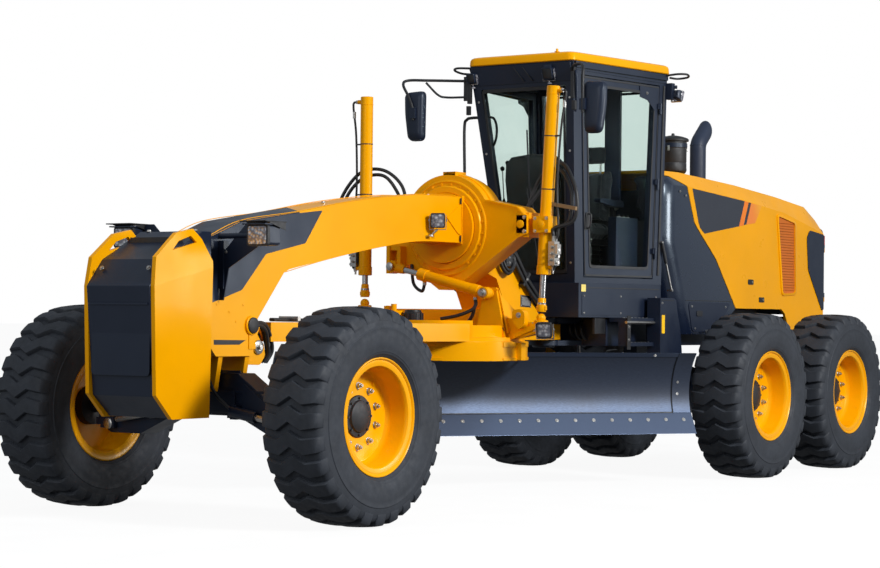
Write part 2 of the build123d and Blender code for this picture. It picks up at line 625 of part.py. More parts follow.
SHIFT_X = 1000
SHIFT_LUG = Vector(SHIFT_X, -420, 1640)    # rod's eye, on the lift saddle
SHIFT_PIN = Vector(SHIFT_X, 390, 1447)     # barrel's pin, on the drawbar
SHIFT_RADIUS, SHIFT_ROD, SHIFT_EYE = 40, 22, 44

# ---------------------------------------------------------------- front frame
BEAM = ((BEAM_END_X - 5, 1812), (1494, 1807), (1879, 1762), (2307, 1694), (2679, 1624),
        (2960, 1570), (3015, 1545), (3283, 1239), (3320, 1010), (3680, 1010), (3840, 1180),
        (3840, 1720), (3452, 1862), (2892, 1944), (2432, 2025), (2030, 2081), (1500, 2134),
        (BEAM_END_X - 5, 2142))
AXLE_PIVOT_Z = 850
with BuildPart() as front_frame:
    with BuildSketch(side_plane(BEAM_HALF_WIDTH)):
        outline(BEAM)
    extrude(amount=2 * BEAM_HALF_WIDTH)
    with BuildSketch(cross_plane(BEAM_END_X)):
        with Locations((0, (1800 + 2150) / 2)):
            Rectangle(2 * BEAM_HALF_WIDTH + 16, 350)
    extrude(amount=-40)
    bar_between((BEAM_END_X - 10, 0, HUB_Z), (480, 0, HUB_Z), SADDLE_HUB_RADIUS)
    with BuildSketch(side_plane(COLUMN_HALF_WIDTH)):
        outline([(700, 2120), (480, 2120), (330, 1730), (50, 1380), (-110, HITCH_HIGH),
                 (-110, HITCH_LOW), (180, HITCH_LOW), (420, 1330), (560, 1560), (700, 1600)])
    extrude(amount=2 * COLUMN_HALF_WIDTH)
    with BuildSketch(Plane.XY.offset(HITCH_LOW)):
        outline([(ARTICULATION_X, HITCH_RADIUS), (-100, COLUMN_HALF_WIDTH),
                 (-100, -COLUMN_HALF_WIDTH), (ARTICULATION_X, -HITCH_RADIUS)])
        with Locations((ARTICULATION_X, 0)):
            Circle(HITCH_RADIUS)
            Circle(HITCH_PIN_RADIUS + FIT, mode=Mode.SUBTRACT)
    extrude(amount=HITCH_HIGH - HITCH_LOW)
    for side_name, side in SIDES:
        with BuildSketch(side_plane(side * 60)):
            outline([(3330, 1020), (3330, 1150), (3200, 1150), (3130, 1065), (3160, 1000)])
        extrude(amount=-side * 35)
    bar_between((BALL[0], -75, BALL[2]), (BALL[0], 75, BALL[2]), 30)
    for x in (FRONT_AXLE_X - 150, FRONT_AXLE_X + 110):
        with BuildSketch(cross_plane(x)):
            outline([(-150, 1020), (-110, 790), (110, 790), (150, 1020)])
        extrude(amount=40)
    bar_between((FRONT_AXLE_X - 160, 0, AXLE_PIVOT_Z), (FRONT_AXLE_X + 160, 0, AXLE_PIVOT_Z), 40)
save(front_frame, "front_frame")

with BuildPart() as saddle:
    with BuildSketch(cross_plane(SADDLE_REAR_X)):
        with Locations((0, HUB_Z)):
            Circle(SADDLE_RADIUS)
        outline([(300, 2130), (SADDLE_END - 70, 2065), (SADDLE_END, 2000), (SADDLE_END, 1870),
                 (SADDLE_END - 70, 1845), (60, 1470), (-60, 1470), (70 - SADDLE_END, 1845),
                 (-SADDLE_END, 1870), (-SADDLE_END, 2000), (70 - SADDLE_END, 2065), (-300, 2130)])
        with Locations((0, HUB_Z)):
            Circle(SADDLE_HUB_RADIUS + SEAT, mode=Mode.SUBTRACT)
    extrude(amount=SADDLE_FRONT_X - SADDLE_REAR_X)
    with BuildSketch(cross_plane(SADDLE_REAR_X + 20)):
        with Locations((0, HUB_Z + SADDLE_RADIUS)):
            Rectangle(110, 50)
    extrude(amount=140)
    with BuildSketch(cross_plane(SADDLE_FRONT_X - 60)):
        outline([(-520, 1800), (-470, 1620), (-420, 1595), (-370, 1620), (-300, 1700)])
    extrude(amount=60)
    bar_between((SADDLE_FRONT_X - 60, SHIFT_LUG.Y, SHIFT_LUG.Z),
                (SHIFT_X + 45, SHIFT_LUG.Y, SHIFT_LUG.Z), 20)
    for side_name, side in SIDES:
        with BuildSketch(side_plane(side * LIFT_Y)):
            with Locations((LIFT_X, TRUNNION_Z)):
                Circle(25 + FIT)
        extrude(amount=side * 180, mode=Mode.SUBTRACT)
save(saddle, "lift_saddle")

GUARD_SIDE = ((4031, 1789), (4179, 1759), (4366, 1610), (4390, 1437), (4366, 786), (4223, 640),
              (3882, 640), (3860, 1597), (3955, 1730))
GUARD_SLOT = ((4161, 1711), (4053, 1745), (4003, 1707), (4220, 1654))
with BuildPart() as guard_block:
    with BuildSketch(side_plane(255)):
        outline([(4190, 645), (FRONT_X - 65, 777), (FRONT_X, 1437), (FRONT_X - 125, 1600),
                 (3930, 1780), (3845, 1780), (3845, 1190), (3880, 645)])
    extrude(amount=510)
save(guard_block, "guard_block")

with BuildPart() as guard_plates:
    for side_name, side in SIDES:
        with BuildSketch(side_plane(side * (255 + SEAT))):
            outline(GUARD_SIDE)
        extrude(amount=-side * 30)
    for side_name, side in SIDES:
        with BuildSketch(side_plane(side * 250)):
            outline(GUARD_SLOT)
        extrude(amount=-side * 60, mode=Mode.SUBTRACT)
save(guard_plates, "guard_plates")

with BuildPart() as headlights:
    for side_name, side in SIDES:
        with BuildSketch(cross_plane(3640)):
            with Locations((side * 550, 1760)):
                RectangleRounded(150, 130, 20)
        extrude(amount=120)
        with BuildSketch(Plane.XY.offset(1820)):
            outline([(3600, side * 470), (3600, side * 630), (3800, side * 640),
                     (3800, side * 460)])
        extrude(amount=8)
        bar_between((3655, side * 480, 1760), (3655, side * (BEAM_HALF_WIDTH + SEAT), 1760), 18)
save(headlights, "headlights")

# ---------------------------------------------------------------- front axle
LEAN_PIN_RADIUS = 30
with BuildPart() as front_axle:
    with BuildSketch(cross_plane(FRONT_AXLE_X - 85)):
        outline([(-LEAN_Y, 500), (-LEAN_Y, 620), (-560, 700), (-250, 905), (250, 905), (560, 700),
                 (LEAN_Y, 620), (LEAN_Y, 500), (560, 500), (250, 640), (-250, 640), (-560, 500)])
        for side_name, side in SIDES:
            with Locations((side * LEAN_Y, LEAN_Z)):
                Circle(60)
    extrude(amount=170)
    for side_name, side in SIDES:
        with BuildSketch(cross_plane(FRONT_AXLE_X - 90)):
            with Locations((side * LEAN_Y, LEAN_Z)):
                Circle(LEAN_PIN_RADIUS + FIT)
        extrude(amount=180, mode=Mode.SUBTRACT)
    with BuildSketch(cross_plane(FRONT_AXLE_X - 90)):
        with Locations((0, AXLE_PIVOT_Z)):
            Circle(40 + SEAT)
    extrude(amount=180, mode=Mode.SUBTRACT)
save(front_axle, "front_axle")

KNUCKLE_LOW, KNUCKLE_HIGH = 600, 730
for side_name, side in SIDES:
    king_y = side * KINGPIN_Y
    with BuildPart() as lean_bracket:
        for x in (FRONT_AXLE_X - 125, FRONT_AXLE_X + 95):
            with BuildSketch(cross_plane(x)):
                outline([(side * (LEAN_Y - 45), 530), (side * 870, 530), (side * 870, 780),
                         (side * 840, 780), (side * (LEAN_Y - 45), 600)])
            extrude(amount=30)
        for low, high in ((KNUCKLE_HIGH + ROOM / 2, 780), (550, KNUCKLE_LOW - ROOM / 2)):
            with BuildSketch(Plane.XY.offset(low)):
                with Locations((FRONT_AXLE_X, king_y)):
                    Circle(48)
                with Locations((FRONT_AXLE_X, side * 885)):
                    Rectangle(250, 45)
            extrude(amount=high - low)
        with BuildSketch(Plane.XY.offset(550)):
            with Locations((FRONT_AXLE_X, side * 873)):
                Rectangle(250, 18)
        extrude(amount=230)
        bar_between((FRONT_AXLE_X, king_y, 540), (FRONT_AXLE_X, king_y, 790), KINGPIN_RADIUS)
        bar_between((FRONT_AXLE_X - 135, side * LEAN_Y, LEAN_Z),
                    (FRONT_AXLE_X + 135, side * LEAN_Y, LEAN_Z), LEAN_PIN_RADIUS)
    save(lean_bracket, f"lean_bracket_{side_name}")
    with BuildPart() as knuckle:
        with BuildSketch(Plane.XY.offset(KNUCKLE_LOW)):
            with Locations((FRONT_AXLE_X, king_y)):
                Circle(46)
        extrude(amount=KNUCKLE_HIGH - KNUCKLE_LOW)
        bar_between((FRONT_AXLE_X, side * (KINGPIN_Y + 35), AXLE_Z),
                    (FRONT_AXLE_X, side * (FRONT_TRACK / 2 - 5), AXLE_Z), SPINDLE_RADIUS["front"])
        with BuildSketch(Plane.XY.offset(KNUCKLE_LOW - 10)):
            with Locations((FRONT_AXLE_X, king_y)):
                Circle(KINGPIN_RADIUS + FIT)
        extrude(amount=KNUCKLE_HIGH - KNUCKLE_LOW + 20, mode=Mode.SUBTRACT)
    save(knuckle, f"knuckle_{side_name}")

# ---------------------------------------------------------------- lift cylinders
# Each row is a side: name, sign, Y of the ball on the drawbar, Z of the ball.
LIFT_BALLS = (("left", 1, LIFT_Y - 35, 1270), ("right", -1, LIFT_Y, 1370))
LIFT_BALL_RADIUS = 34
LIFT_GAP = 12                # open eye's clearance at the drawbar's ball
LIFT_UP = 990                # trunnion to the barrel's top
LIFT_DOWN = 352              # trunnion to the barrel's foot
for side_name, side, ball_y, ball_z in LIFT_BALLS:
    eye = Vector(LIFT_X, side * ball_y, ball_z)
    trunnion = Vector(LIFT_X, side * LIFT_Y, TRUNNION_Z)
    up = (trunnion - eye).normalized()
    top, foot = trunnion + up * LIFT_UP, trunnion - up * LIFT_DOWN
    rod_foot = eye + up * (LIFT_BALL_RADIUS + LIFT_GAP)
    with BuildPart() as barrel:
        bar_between(foot, top, BARREL_RADIUS)
        bar_between(trunnion - up * 45, trunnion + up * 45, BARREL_RADIUS + 18)
        bar_between(trunnion, Vector(LIFT_X, side * (SADDLE_END - 65), TRUNNION_Z), 25)
        with BuildSketch(Plane(origin=foot, z_dir=up)):
            Circle(ROD_RADIUS + FIT)
        extrude(amount=LIFT_UP + LIFT_DOWN - 25, mode=Mode.SUBTRACT)
    save(barrel, f"lift_barrel_{side_name}")
    with BuildPart() as rod:
        bar_between(rod_foot + up * 60, top - up * 110, ROD_RADIUS)
        bar_between(rod_foot, rod_foot + up * 65, 32)
    save(rod, f"lift_rod_{side_name}")

# ---------------------------------------------------------------- drawbar
DRAWBAR_LOW, DRAWBAR_HIGH = CIRCLE_TOP, 1225
PLATE_RADIUS = CIRCLE_RADIUS - 20
BEAM_FOOT = PLATE_RADIUS - 220   # beams end this far ahead of the circle's axis
with BuildPart() as drawbar:
    with BuildSketch(drawbar_plane(DRAWBAR_LOW)):
        for s in (1, -1):
            outline([(-95, s * 20), (-95, s * 130),
                     (BEAM_FOOT - DRAWBAR_REACH, s * (PLATE_RADIUS - 130)),
                     (BEAM_FOOT - DRAWBAR_REACH, s * (PLATE_RADIUS - 270))][::s])
        outline([(-80, 25), (-80, -25), (-430, -90), (-430, 90)])
    extrude(amount=DRAWBAR_HIGH - DRAWBAR_LOW)
    with BuildSketch(drawbar_plane(DRAWBAR_LOW)):
        with Locations((-DRAWBAR_REACH, 0)):
            Circle(PLATE_RADIUS)
    extrude(amount=30)
    with BuildSketch(drawbar_plane(DRAWBAR_LOW + 25)):
        with Locations((-DRAWBAR_REACH, 0)):
            Circle(PLATE_RADIUS - 40)
            Circle(PLATE_RADIUS - 70, mode=Mode.SUBTRACT)
            Rectangle(40, 2 * PLATE_RADIUS - 140)
    extrude(amount=90)
    with BuildSketch(side_plane(20)):
        outline([(3120, 1225), (3060, 1225), (3060, 1100), (3150, 1030), (3200, 1030)])
    extrude(amount=40)
    bar_between((BALL[0], -22, BALL[2]), (BALL[0], 22, BALL[2]), 62)
    with BuildSketch(side_plane(30)):
        with Locations((BALL[0], BALL[2])):
            Circle(30 + FIT)
    extrude(amount=60, mode=Mode.SUBTRACT)
    with BuildSketch(cross_plane(LIFT_X - 45)):
        outline([(-LIFT_Y - 60, 1240), (-LIFT_Y - 60, 1310), (100 - LIFT_Y, 1330), (260, 1330),
                 (LIFT_Y - 160, 1240), (LIFT_Y - 10, 1232), (LIFT_Y - 10, 1165),
                 (LIFT_Y - 240, 1120), (180 - LIFT_Y, 1120)])
    extrude(amount=90)
    for side_name, side, ball_y, ball_z in LIFT_BALLS:
        bar_between((LIFT_X, side * ball_y, 1200), (LIFT_X, side * ball_y, ball_z - 20), 24)
        with Locations((LIFT_X, side * ball_y, ball_z)):
            Sphere(LIFT_BALL_RADIUS)
    with BuildSketch(cross_plane(SHIFT_X - 85)):
        outline([(SHIFT_PIN.Y - 50, SHIFT_PIN.Z + 40), (SHIFT_PIN.Y + 50, SHIFT_PIN.Z + 40),
                 (SHIFT_PIN.Y + 130, DRAWBAR_LOW + 25), (SHIFT_PIN.Y - 130, DRAWBAR_LOW + 25)])
    extrude(amount=20)
save(drawbar, "drawbar")

# ---------------------------------------------------------------- centre-shift cylinder
toward_lug = (SHIFT_LUG - SHIFT_PIN).normalized()
across_pin = Vector(30, 0, 0)
with BuildPart() as shift_barrel:
    bar_between(SHIFT_PIN + toward_lug * 30, SHIFT_PIN + toward_lug * 590, SHIFT_RADIUS)
    bar_between(SHIFT_PIN - across_pin, SHIFT_PIN + across_pin, SHIFT_EYE)
    bar_between(SHIFT_PIN - Vector(44, 0, 0), SHIFT_PIN + Vector(45, 0, 0), 20)
    bar_between(SHIFT_PIN + toward_lug * 78, SHIFT_PIN + toward_lug * 600, SHIFT_ROD + FIT,
                Mode.SUBTRACT)
save(shift_barrel, "shift_barrel")

with BuildPart() as shift_rod:
    bar_between(SHIFT_PIN + toward_lug * 84, SHIFT_LUG - toward_lug * 30, SHIFT_ROD)
    bar_between(SHIFT_LUG - across_pin, SHIFT_LUG + across_pin, SHIFT_EYE)
    bar_between(SHIFT_LUG - across_pin * 2, SHIFT_LUG + across_pin * 2, 20 + FIT, Mode.SUBTRACT)
save(shift_rod, "shift_rod")

# ---------------------------------------------------------------- circle
ARM_Y, ARM_THICKNESS = CIRCLE_RADIUS - 110, 60
BLADE_SLOT = (-55, 150, 1045)    # room over the blade's top edge: from, to, and up to this height
TIP_PIN_RADIUS = 25
TIP_ROOT_X, TIP_Z = 30 - CIRCLE_RADIUS, 900    # tip cylinder's rear pin, in the blade's frame
TIP_EYE_X = -200                 # middle of the cross tube its rod pushes
TIP_ROOT_RADIUS = 18
with BuildPart() as circle:
    with BuildSketch(blade_level(CIRCLE_LOW)):
        Circle(CIRCLE_RADIUS)
        Circle(CIRCLE_BORE, mode=Mode.SUBTRACT)
    extrude(amount=CIRCLE_TOP - SEAT - CIRCLE_LOW)
    with BuildSketch(blade_level(CIRCLE_LOW - 1)):
        with Locations(((BLADE_SLOT[0] + BLADE_SLOT[1]) / 2, 0)):
            Rectangle(BLADE_SLOT[1] - BLADE_SLOT[0], 2 * CIRCLE_RADIUS + 10)
    extrude(amount=BLADE_SLOT[2] - CIRCLE_LOW + 1, mode=Mode.SUBTRACT)
    for s in (1, -1):
        with BuildSketch(blade_section(s * ARM_Y - ARM_THICKNESS / 2)):
            outline([(-480, 970), (-150, 970), (-190, 860), (-205, 600), (-185, PIVOT_Z),
                     (-230, 490), (-280, PIVOT_Z), (-400, 800)])
        extrude(amount=-ARM_THICKNESS)
        with BuildSketch(blade_section(s * ARM_Y - ARM_THICKNESS)):
            with Locations((PIVOT_X, PIVOT_Z)):
                Circle(TIP_PIN_RADIUS + FIT)
        extrude(amount=-2 * ARM_THICKNESS, mode=Mode.SUBTRACT)
    for y in (-60, 35):
        with BuildSketch(blade_section(y)):
            outline([(TIP_ROOT_X - 50, 965), (TIP_ROOT_X + 55, 965), (TIP_ROOT_X + 32, 880),
                     (TIP_ROOT_X, 866), (TIP_ROOT_X - 32, 880)])
        extrude(amount=-25)
    with BuildSketch(blade_section(-60)):
        with Locations((TIP_ROOT_X, TIP_Z)):
            Circle(TIP_ROOT_RADIUS)
    extrude(amount=-120)
save(circle, "circle")

TIP_BARREL_RADIUS, TIP_ROD_RADIUS = 38, 20
TIP_BARREL_REACH = TIP_EYE_X - TIP_ROOT_X - 90
TIP_GAP = 15                 # open eye's clearance at the cross tube
CROSS_TUBE_RADIUS = 35
tip_root = blade_section(0).from_local_coords((TIP_ROOT_X, TIP_Z, 0))
tip_eye = blade_section(0).from_local_coords((TIP_EYE_X, TIP_Z, 0))
toward_blade = (tip_eye - tip_root).normalized()
with BuildPart() as tip_barrel:
    bar_between(tip_root, tip_root + toward_blade * TIP_BARREL_REACH, TIP_BARREL_RADIUS)
    with BuildSketch(blade_section(-28)):
        with Locations((TIP_ROOT_X, TIP_Z)):
            Circle(TIP_BARREL_RADIUS - 5)
    extrude(amount=-56)
    bar_between(tip_root + toward_blade * 30, tip_root + toward_blade * (TIP_BARREL_REACH + 10),
                TIP_ROD_RADIUS + FIT, Mode.SUBTRACT)
    with BuildSketch(blade_section(-80)):
        with Locations((TIP_ROOT_X, TIP_Z)):
            Circle(TIP_ROOT_RADIUS + FIT)
    extrude(amount=-160, mode=Mode.SUBTRACT)
    for y in (-80, 29):
        with BuildSketch(blade_section(y)):
            with Locations((TIP_ROOT_X, TIP_Z)):
                Rectangle(90, 90)
        extrude(amount=-51, mode=Mode.SUBTRACT)
save(tip_barrel, "tip_barrel")

with BuildPart() as tip_rod:
    rod_end = tip_eye - toward_blade * (CROSS_TUBE_RADIUS + TIP_GAP)
    bar_between(tip_root + toward_blade * 63, rod_end, TIP_ROD_RADIUS)
save(tip_rod, "tip_rod")

# ---------------------------------------------------------------- blade carrier and moldboard
RAIL_LENGTH = (-1200, 1750)
RAIL_BACK = -125             # rails' rear faces, in the blade's frame
RAIL_LEVELS = ((520, 560), (850, 890))
CARRIER_BACK, CARRIER_FACE = -215, -130
CARRIER_Y, CARRIER_WIDTH = ARM_Y - 73, 74
SLIDE_X, SLIDE_Z = -135, 700     # side-shift cylinder's axis
SLIDE_RADIUS, SLIDE_ROD = 33, 18
with BuildPart() as carrier:
    for s in (1, -1):
        with BuildSketch(blade_section(s * CARRIER_Y - CARRIER_WIDTH / 2)):
            outline([(CARRIER_FACE, 480), (CARRIER_FACE, 930), (CARRIER_BACK, 930),
                     (CARRIER_BACK, 600), (-275, 560), (-275, 520), (-240, 490)])
            for low, high in RAIL_LEVELS:
                for lip in (low - SEAT - 25, high + SEAT):
                    with Locations(((CARRIER_FACE - 90) / 2, lip + 12.5)):
                        Rectangle(-CARRIER_FACE - 88, 25)
        extrude(amount=-CARRIER_WIDTH)
    for s in (1, -1):
        with BuildSketch(blade_section(s * CARRIER_Y - CARRIER_WIDTH)):
            with Locations((SLIDE_X, SLIDE_Z)):
                Circle(SLIDE_RADIUS + SEAT)
        extrude(amount=-2 * CARRIER_WIDTH, mode=Mode.SUBTRACT)
        with BuildSketch(blade_section(min(s * (ARM_Y + 40), s * CARRIER_Y))):
            with Locations((PIVOT_X, PIVOT_Z)):
                Circle(TIP_PIN_RADIUS)
        extrude(amount=CARRIER_Y - ARM_Y - 40)
    with BuildSketch(blade_section(-CARRIER_Y)):
        with Locations((TIP_EYE_X, TIP_Z)):
            Circle(CROSS_TUBE_RADIUS)
    extrude(amount=-2 * CARRIER_Y)
save(carrier, "blade_carrier")

EDGE_HEIGHT, EDGE_THICKNESS = 155, 16


def face_arc(setback):
    """Centre and radius of the blade's circular profile, setback behind its front face."""
    half = (BLADE_TOP_Z - EDGE_Z) / 2
    radius = (half ** 2 + BLADE_SAGITTA ** 2) / (2 * BLADE_SAGITTA)
    return (EDGE_X + radius - BLADE_SAGITTA, EDGE_Z + half), radius + setback


def blade_face(z, setback=0):
    """How far ahead of the circle's axis the blade's face is at height z."""
    (x, mid), radius = face_arc(setback)
    return x - (radius ** 2 - (z - mid) ** 2) ** 0.5


blade_start = BLADE_SHIFT - BLADE_LENGTH / 2
mid_z = (EDGE_Z + BLADE_TOP_Z) / 2
plate_low = EDGE_Z + 40
with BuildPart() as moldboard:
    with BuildSketch(blade_section(blade_start)):
        with BuildLine():
            ThreePointArc((blade_face(plate_low), plate_low), (blade_face(mid_z), mid_z),
                          (blade_face(BLADE_TOP_Z), BLADE_TOP_Z))
            Line((blade_face(BLADE_TOP_Z), BLADE_TOP_Z),
                 (blade_face(BLADE_TOP_Z, BLADE_THICKNESS), BLADE_TOP_Z))
            ThreePointArc((blade_face(BLADE_TOP_Z, BLADE_THICKNESS), BLADE_TOP_Z),
                          (blade_face(mid_z, BLADE_THICKNESS), mid_z),
                          (blade_face(plate_low, BLADE_THICKNESS), plate_low))
            Line((blade_face(plate_low, BLADE_THICKNESS), plate_low),
                 (blade_face(plate_low), plate_low))
        make_face()
    extrude(amount=-BLADE_LENGTH)
    for low, high in RAIL_LEVELS:
        with BuildSketch(blade_section(RAIL_LENGTH[0])):
            outline([(RAIL_BACK, low), (blade_face(low, BLADE_THICKNESS / 2), low),
                     (blade_face(high, BLADE_THICKNESS / 2), high), (RAIL_BACK, high)])
        extrude(amount=RAIL_LENGTH[0] - RAIL_LENGTH[1])
    with BuildSketch(blade_section(1250)):
        outline([(SLIDE_X - 30, SLIDE_Z - 32), (blade_face(SLIDE_Z - 32, 11), SLIDE_Z - 32),
                 (blade_face(SLIDE_Z + 32, 11), SLIDE_Z + 32), (SLIDE_X - 30, SLIDE_Z + 32)])
        with Locations((SLIDE_X, SLIDE_Z)):
            Circle(SLIDE_ROD + SEAT, mode=Mode.SUBTRACT)
    extrude(amount=-40)
save(moldboard, "moldboard")

with BuildPart() as cutting_edge:
    with BuildSketch(blade_section(blade_start)):
        high = EDGE_Z + EDGE_HEIGHT
        outline([(EDGE_X, EDGE_Z), (blade_face(high) + SEAT, high),
                 (blade_face(high) + SEAT + EDGE_THICKNESS, high),
                 (EDGE_X + EDGE_THICKNESS, EDGE_Z)])
    extrude(amount=-BLADE_LENGTH)
save(cutting_edge, "cutting_edge")

with BuildPart() as slide_barrel:
    with BuildSketch(blade_section(-700)):
        with Locations((SLIDE_X, SLIDE_Z)):
            Circle(SLIDE_RADIUS)
    extrude(amount=-1175)
    with BuildSketch(blade_section(-670)):
        with Locations((SLIDE_X, SLIDE_Z)):
            Circle(SLIDE_ROD + FIT)
    extrude(amount=-1200, mode=Mode.SUBTRACT)
save(slide_barrel, "side_shift_barrel")

with BuildPart() as slide_rod:
    with BuildSketch(blade_section(60)):
        with Locations((SLIDE_X, SLIDE_Z)):
            Circle(SLIDE_ROD)
    extrude(amount=-(1300 - 60))
save(slide_rod, "side_shift_rod")
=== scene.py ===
"""Looks of the motor grader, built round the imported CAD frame.  Metres, X forward, Y left, Z up."""
import json
from math import cos, pi, sin, sqrt, tan, radians

import bmesh
import bpy
from mathutils import Matrix, Vector

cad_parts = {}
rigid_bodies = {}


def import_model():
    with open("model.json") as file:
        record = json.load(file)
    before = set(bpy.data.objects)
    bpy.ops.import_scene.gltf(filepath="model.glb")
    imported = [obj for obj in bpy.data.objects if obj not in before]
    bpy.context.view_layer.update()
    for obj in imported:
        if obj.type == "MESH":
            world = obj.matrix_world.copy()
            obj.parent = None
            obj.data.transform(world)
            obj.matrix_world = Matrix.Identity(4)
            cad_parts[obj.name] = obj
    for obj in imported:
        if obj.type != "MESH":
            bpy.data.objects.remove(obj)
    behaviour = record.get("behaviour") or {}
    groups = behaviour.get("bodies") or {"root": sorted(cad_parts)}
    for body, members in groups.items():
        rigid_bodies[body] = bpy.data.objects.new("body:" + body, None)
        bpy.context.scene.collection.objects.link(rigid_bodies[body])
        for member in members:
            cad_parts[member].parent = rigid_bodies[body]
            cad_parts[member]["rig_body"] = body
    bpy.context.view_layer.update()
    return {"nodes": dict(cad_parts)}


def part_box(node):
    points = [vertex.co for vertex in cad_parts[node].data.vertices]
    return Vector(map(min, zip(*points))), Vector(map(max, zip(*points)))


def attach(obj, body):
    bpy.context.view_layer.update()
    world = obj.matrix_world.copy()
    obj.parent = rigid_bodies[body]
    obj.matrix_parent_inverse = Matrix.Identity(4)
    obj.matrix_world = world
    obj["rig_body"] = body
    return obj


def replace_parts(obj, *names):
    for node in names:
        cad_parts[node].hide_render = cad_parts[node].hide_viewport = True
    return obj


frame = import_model()
nodes = frame["nodes"]

UP, FORWARD, LEFT = Vector((0, 0, 1)), Vector((1, 0, 0)), Vector((0, 1, 0))
SIDES = (("left", 1), ("right", -1))


# ---------------------------------------------------------------- colours and materials
def colour(red, green, blue):
    """Linear colour of 0-255 display values."""
    def linear(v):
        v /= 255
        return v / 12.92 if v <= 0.04045 else ((v + 0.055) / 1.055) ** 2.4
    return (linear(red), linear(green), linear(blue), 1)


class Shader:
    """A node material under construction: new nodes by type, linked by name."""

    def __init__(self, name):
        self.material = bpy.data.materials.new(name)
        self.material.use_nodes = True
        self.tree = self.material.node_tree
        self.bsdf = self.tree.nodes["Principled BSDF"]
        self.place = self.node("ShaderNodeTexCoord").outputs["Object"]

    def node(self, kind, **settings):
        made = self.tree.nodes.new(kind)
        for key, value in settings.items():
            setattr(made, key, value)
        return made

    def link(self, out, into):
        self.tree.links.new(out, into)

    def noise(self, scale, detail=3, stretch=None):
        made = self.node("ShaderNodeTexNoise")
        made.inputs["Scale"].default_value = scale
        made.inputs["Detail"].default_value = detail
        self.link(self.stretched(stretch) if stretch else self.place, made.inputs["Vector"])
        return made.outputs["Fac"]

    def stretched(self, factors):
        mapping = self.node("ShaderNodeMapping")
        mapping.inputs["Scale"].default_value = factors
        self.link(self.place, mapping.inputs["Vector"])
        return mapping.outputs["Vector"]

    def ranged(self, out, low, high, to_low, to_high, smooth=False):
        made = self.node("ShaderNodeMapRange", interpolation_type="SMOOTHSTEP" if smooth else "LINEAR")
        for key, value in zip(("From Min", "From Max", "To Min", "To Max"),
                              (low, high, to_low, to_high)):
            made.inputs[key].default_value = value
        self.link(out, made.inputs["Value"])
        return made.outputs["Result"]

    def mixed(self, factor, a, b):
        """Colour a where factor is 0 and b where it is 1; each is a colour or an output."""
        made = self.node("ShaderNodeMix", data_type="RGBA")
        self.link(factor, made.inputs["Factor"])
        for value, key in ((a, 6), (b, 7)):
            if isinstance(value, tuple):
                made.inputs[key].default_value = value
            else:
                self.link(value, made.inputs[key])
        return made.outputs[2]

    def bump(self, out, distance, strength=1.0, under=None):
        made = self.node("ShaderNodeBump")
        made.inputs["Distance"].default_value = distance
        made.inputs["Strength"].default_value = strength
        self.link(out, made.inputs["Height"])
        if under:
            self.link(under, made.inputs["Normal"])
        return made.outputs["Normal"]

    def set(self, **values):
        for key, value in values.items():
            into = self.bsdf.inputs[key.replace("_", " ")]
            if isinstance(value, bpy.types.NodeSocket):
                self.link(value, into)
            else:
                into.default_value = value
        return self.material


def shaded(tint, amount):
    return tuple(c * amount for c in tint[:3]) + (1,)


def painted(name, tint, rough=0.32, coat=0.1, spread=0.08, gloss=0.3, sheen=(1, 1, 1, 1)):
    """Sprayed paint: slight cloudiness, orange peel, duller patches and fine dust."""
    s = Shader(name)
    cloud = s.ranged(s.noise(1.7, 4), 0.3, 0.7, 0, 1)
    base = s.mixed(cloud, shaded(tint, 1 - spread), shaded(tint, 1 + spread / 2))
    dust = s.ranged(s.noise(55, 5), 0.6, 0.82, 0, 0.16)
    base = s.mixed(dust, base, shaded(tint, 0.72))
    return s.set(Base_Color=base, Roughness=s.ranged(s.noise(6, 4), 0.3, 0.7, rough - 0.05, rough + 0.08),
                 Normal=s.bump(s.noise(420, 2), 0.0004, 0.25), Specular_IOR_Level=gloss,
                 Specular_Tint=sheen, Coat_Tint=sheen, Coat_Weight=coat, Coat_Roughness=0.18)


def rubber(name, tint):
    """Moulded rubber: dull, with a lighter bloom and fine mould texture."""
    s = Shader(name)
    bloom = s.ranged(s.noise(9, 6), 0.35, 0.75, 0, 0.55)
    base = s.mixed(bloom, tint, shaded(tint, 1.75))
    speck = s.ranged(s.noise(160, 3), 0.62, 0.75, 0, 0.35)
    base = s.mixed(speck, base, shaded(tint, 2.6))
    return s.set(Base_Color=base, Roughness=s.ranged(s.noise(25, 4), 0.3, 0.7, 0.58, 0.78),
                 Normal=s.bump(s.noise(260, 4), 0.0012, 0.5), Specular_IOR_Level=0.35)


def bare_steel(name, tint, rough, brush=(1, 1, 1), variety=0.12):
    """Machined or drawn steel with a faint directional brush."""
    s = Shader(name)
    streak = s.noise(90, 5, brush)
    base = s.mixed(s.ranged(streak, 0.3, 0.7, 0, 1), shaded(tint, 1 - variety), tint)
    return s.set(Base_Color=base, Metallic=1.0,
                 Roughness=s.ranged(streak, 0.3, 0.7, rough * 0.8, rough * 1.3),
                 Normal=s.bump(streak, 0.0003, 0.2))


def plastic(name, tint, rough=0.5, grain=500):
    """Moulded plastic or powder coat with a fine grain."""
    s = Shader(name)
    base = s.mixed(s.ranged(s.noise(12, 4), 0.3, 0.7, 0, 1), shaded(tint, 0.85), shaded(tint, 1.2))
    return s.set(Base_Color=base, Roughness=s.ranged(s.noise(30, 3), 0.3, 0.7, rough - 0.06, rough + 0.1),
                 Normal=s.bump(s.noise(grain, 3), 0.0005, 0.35))


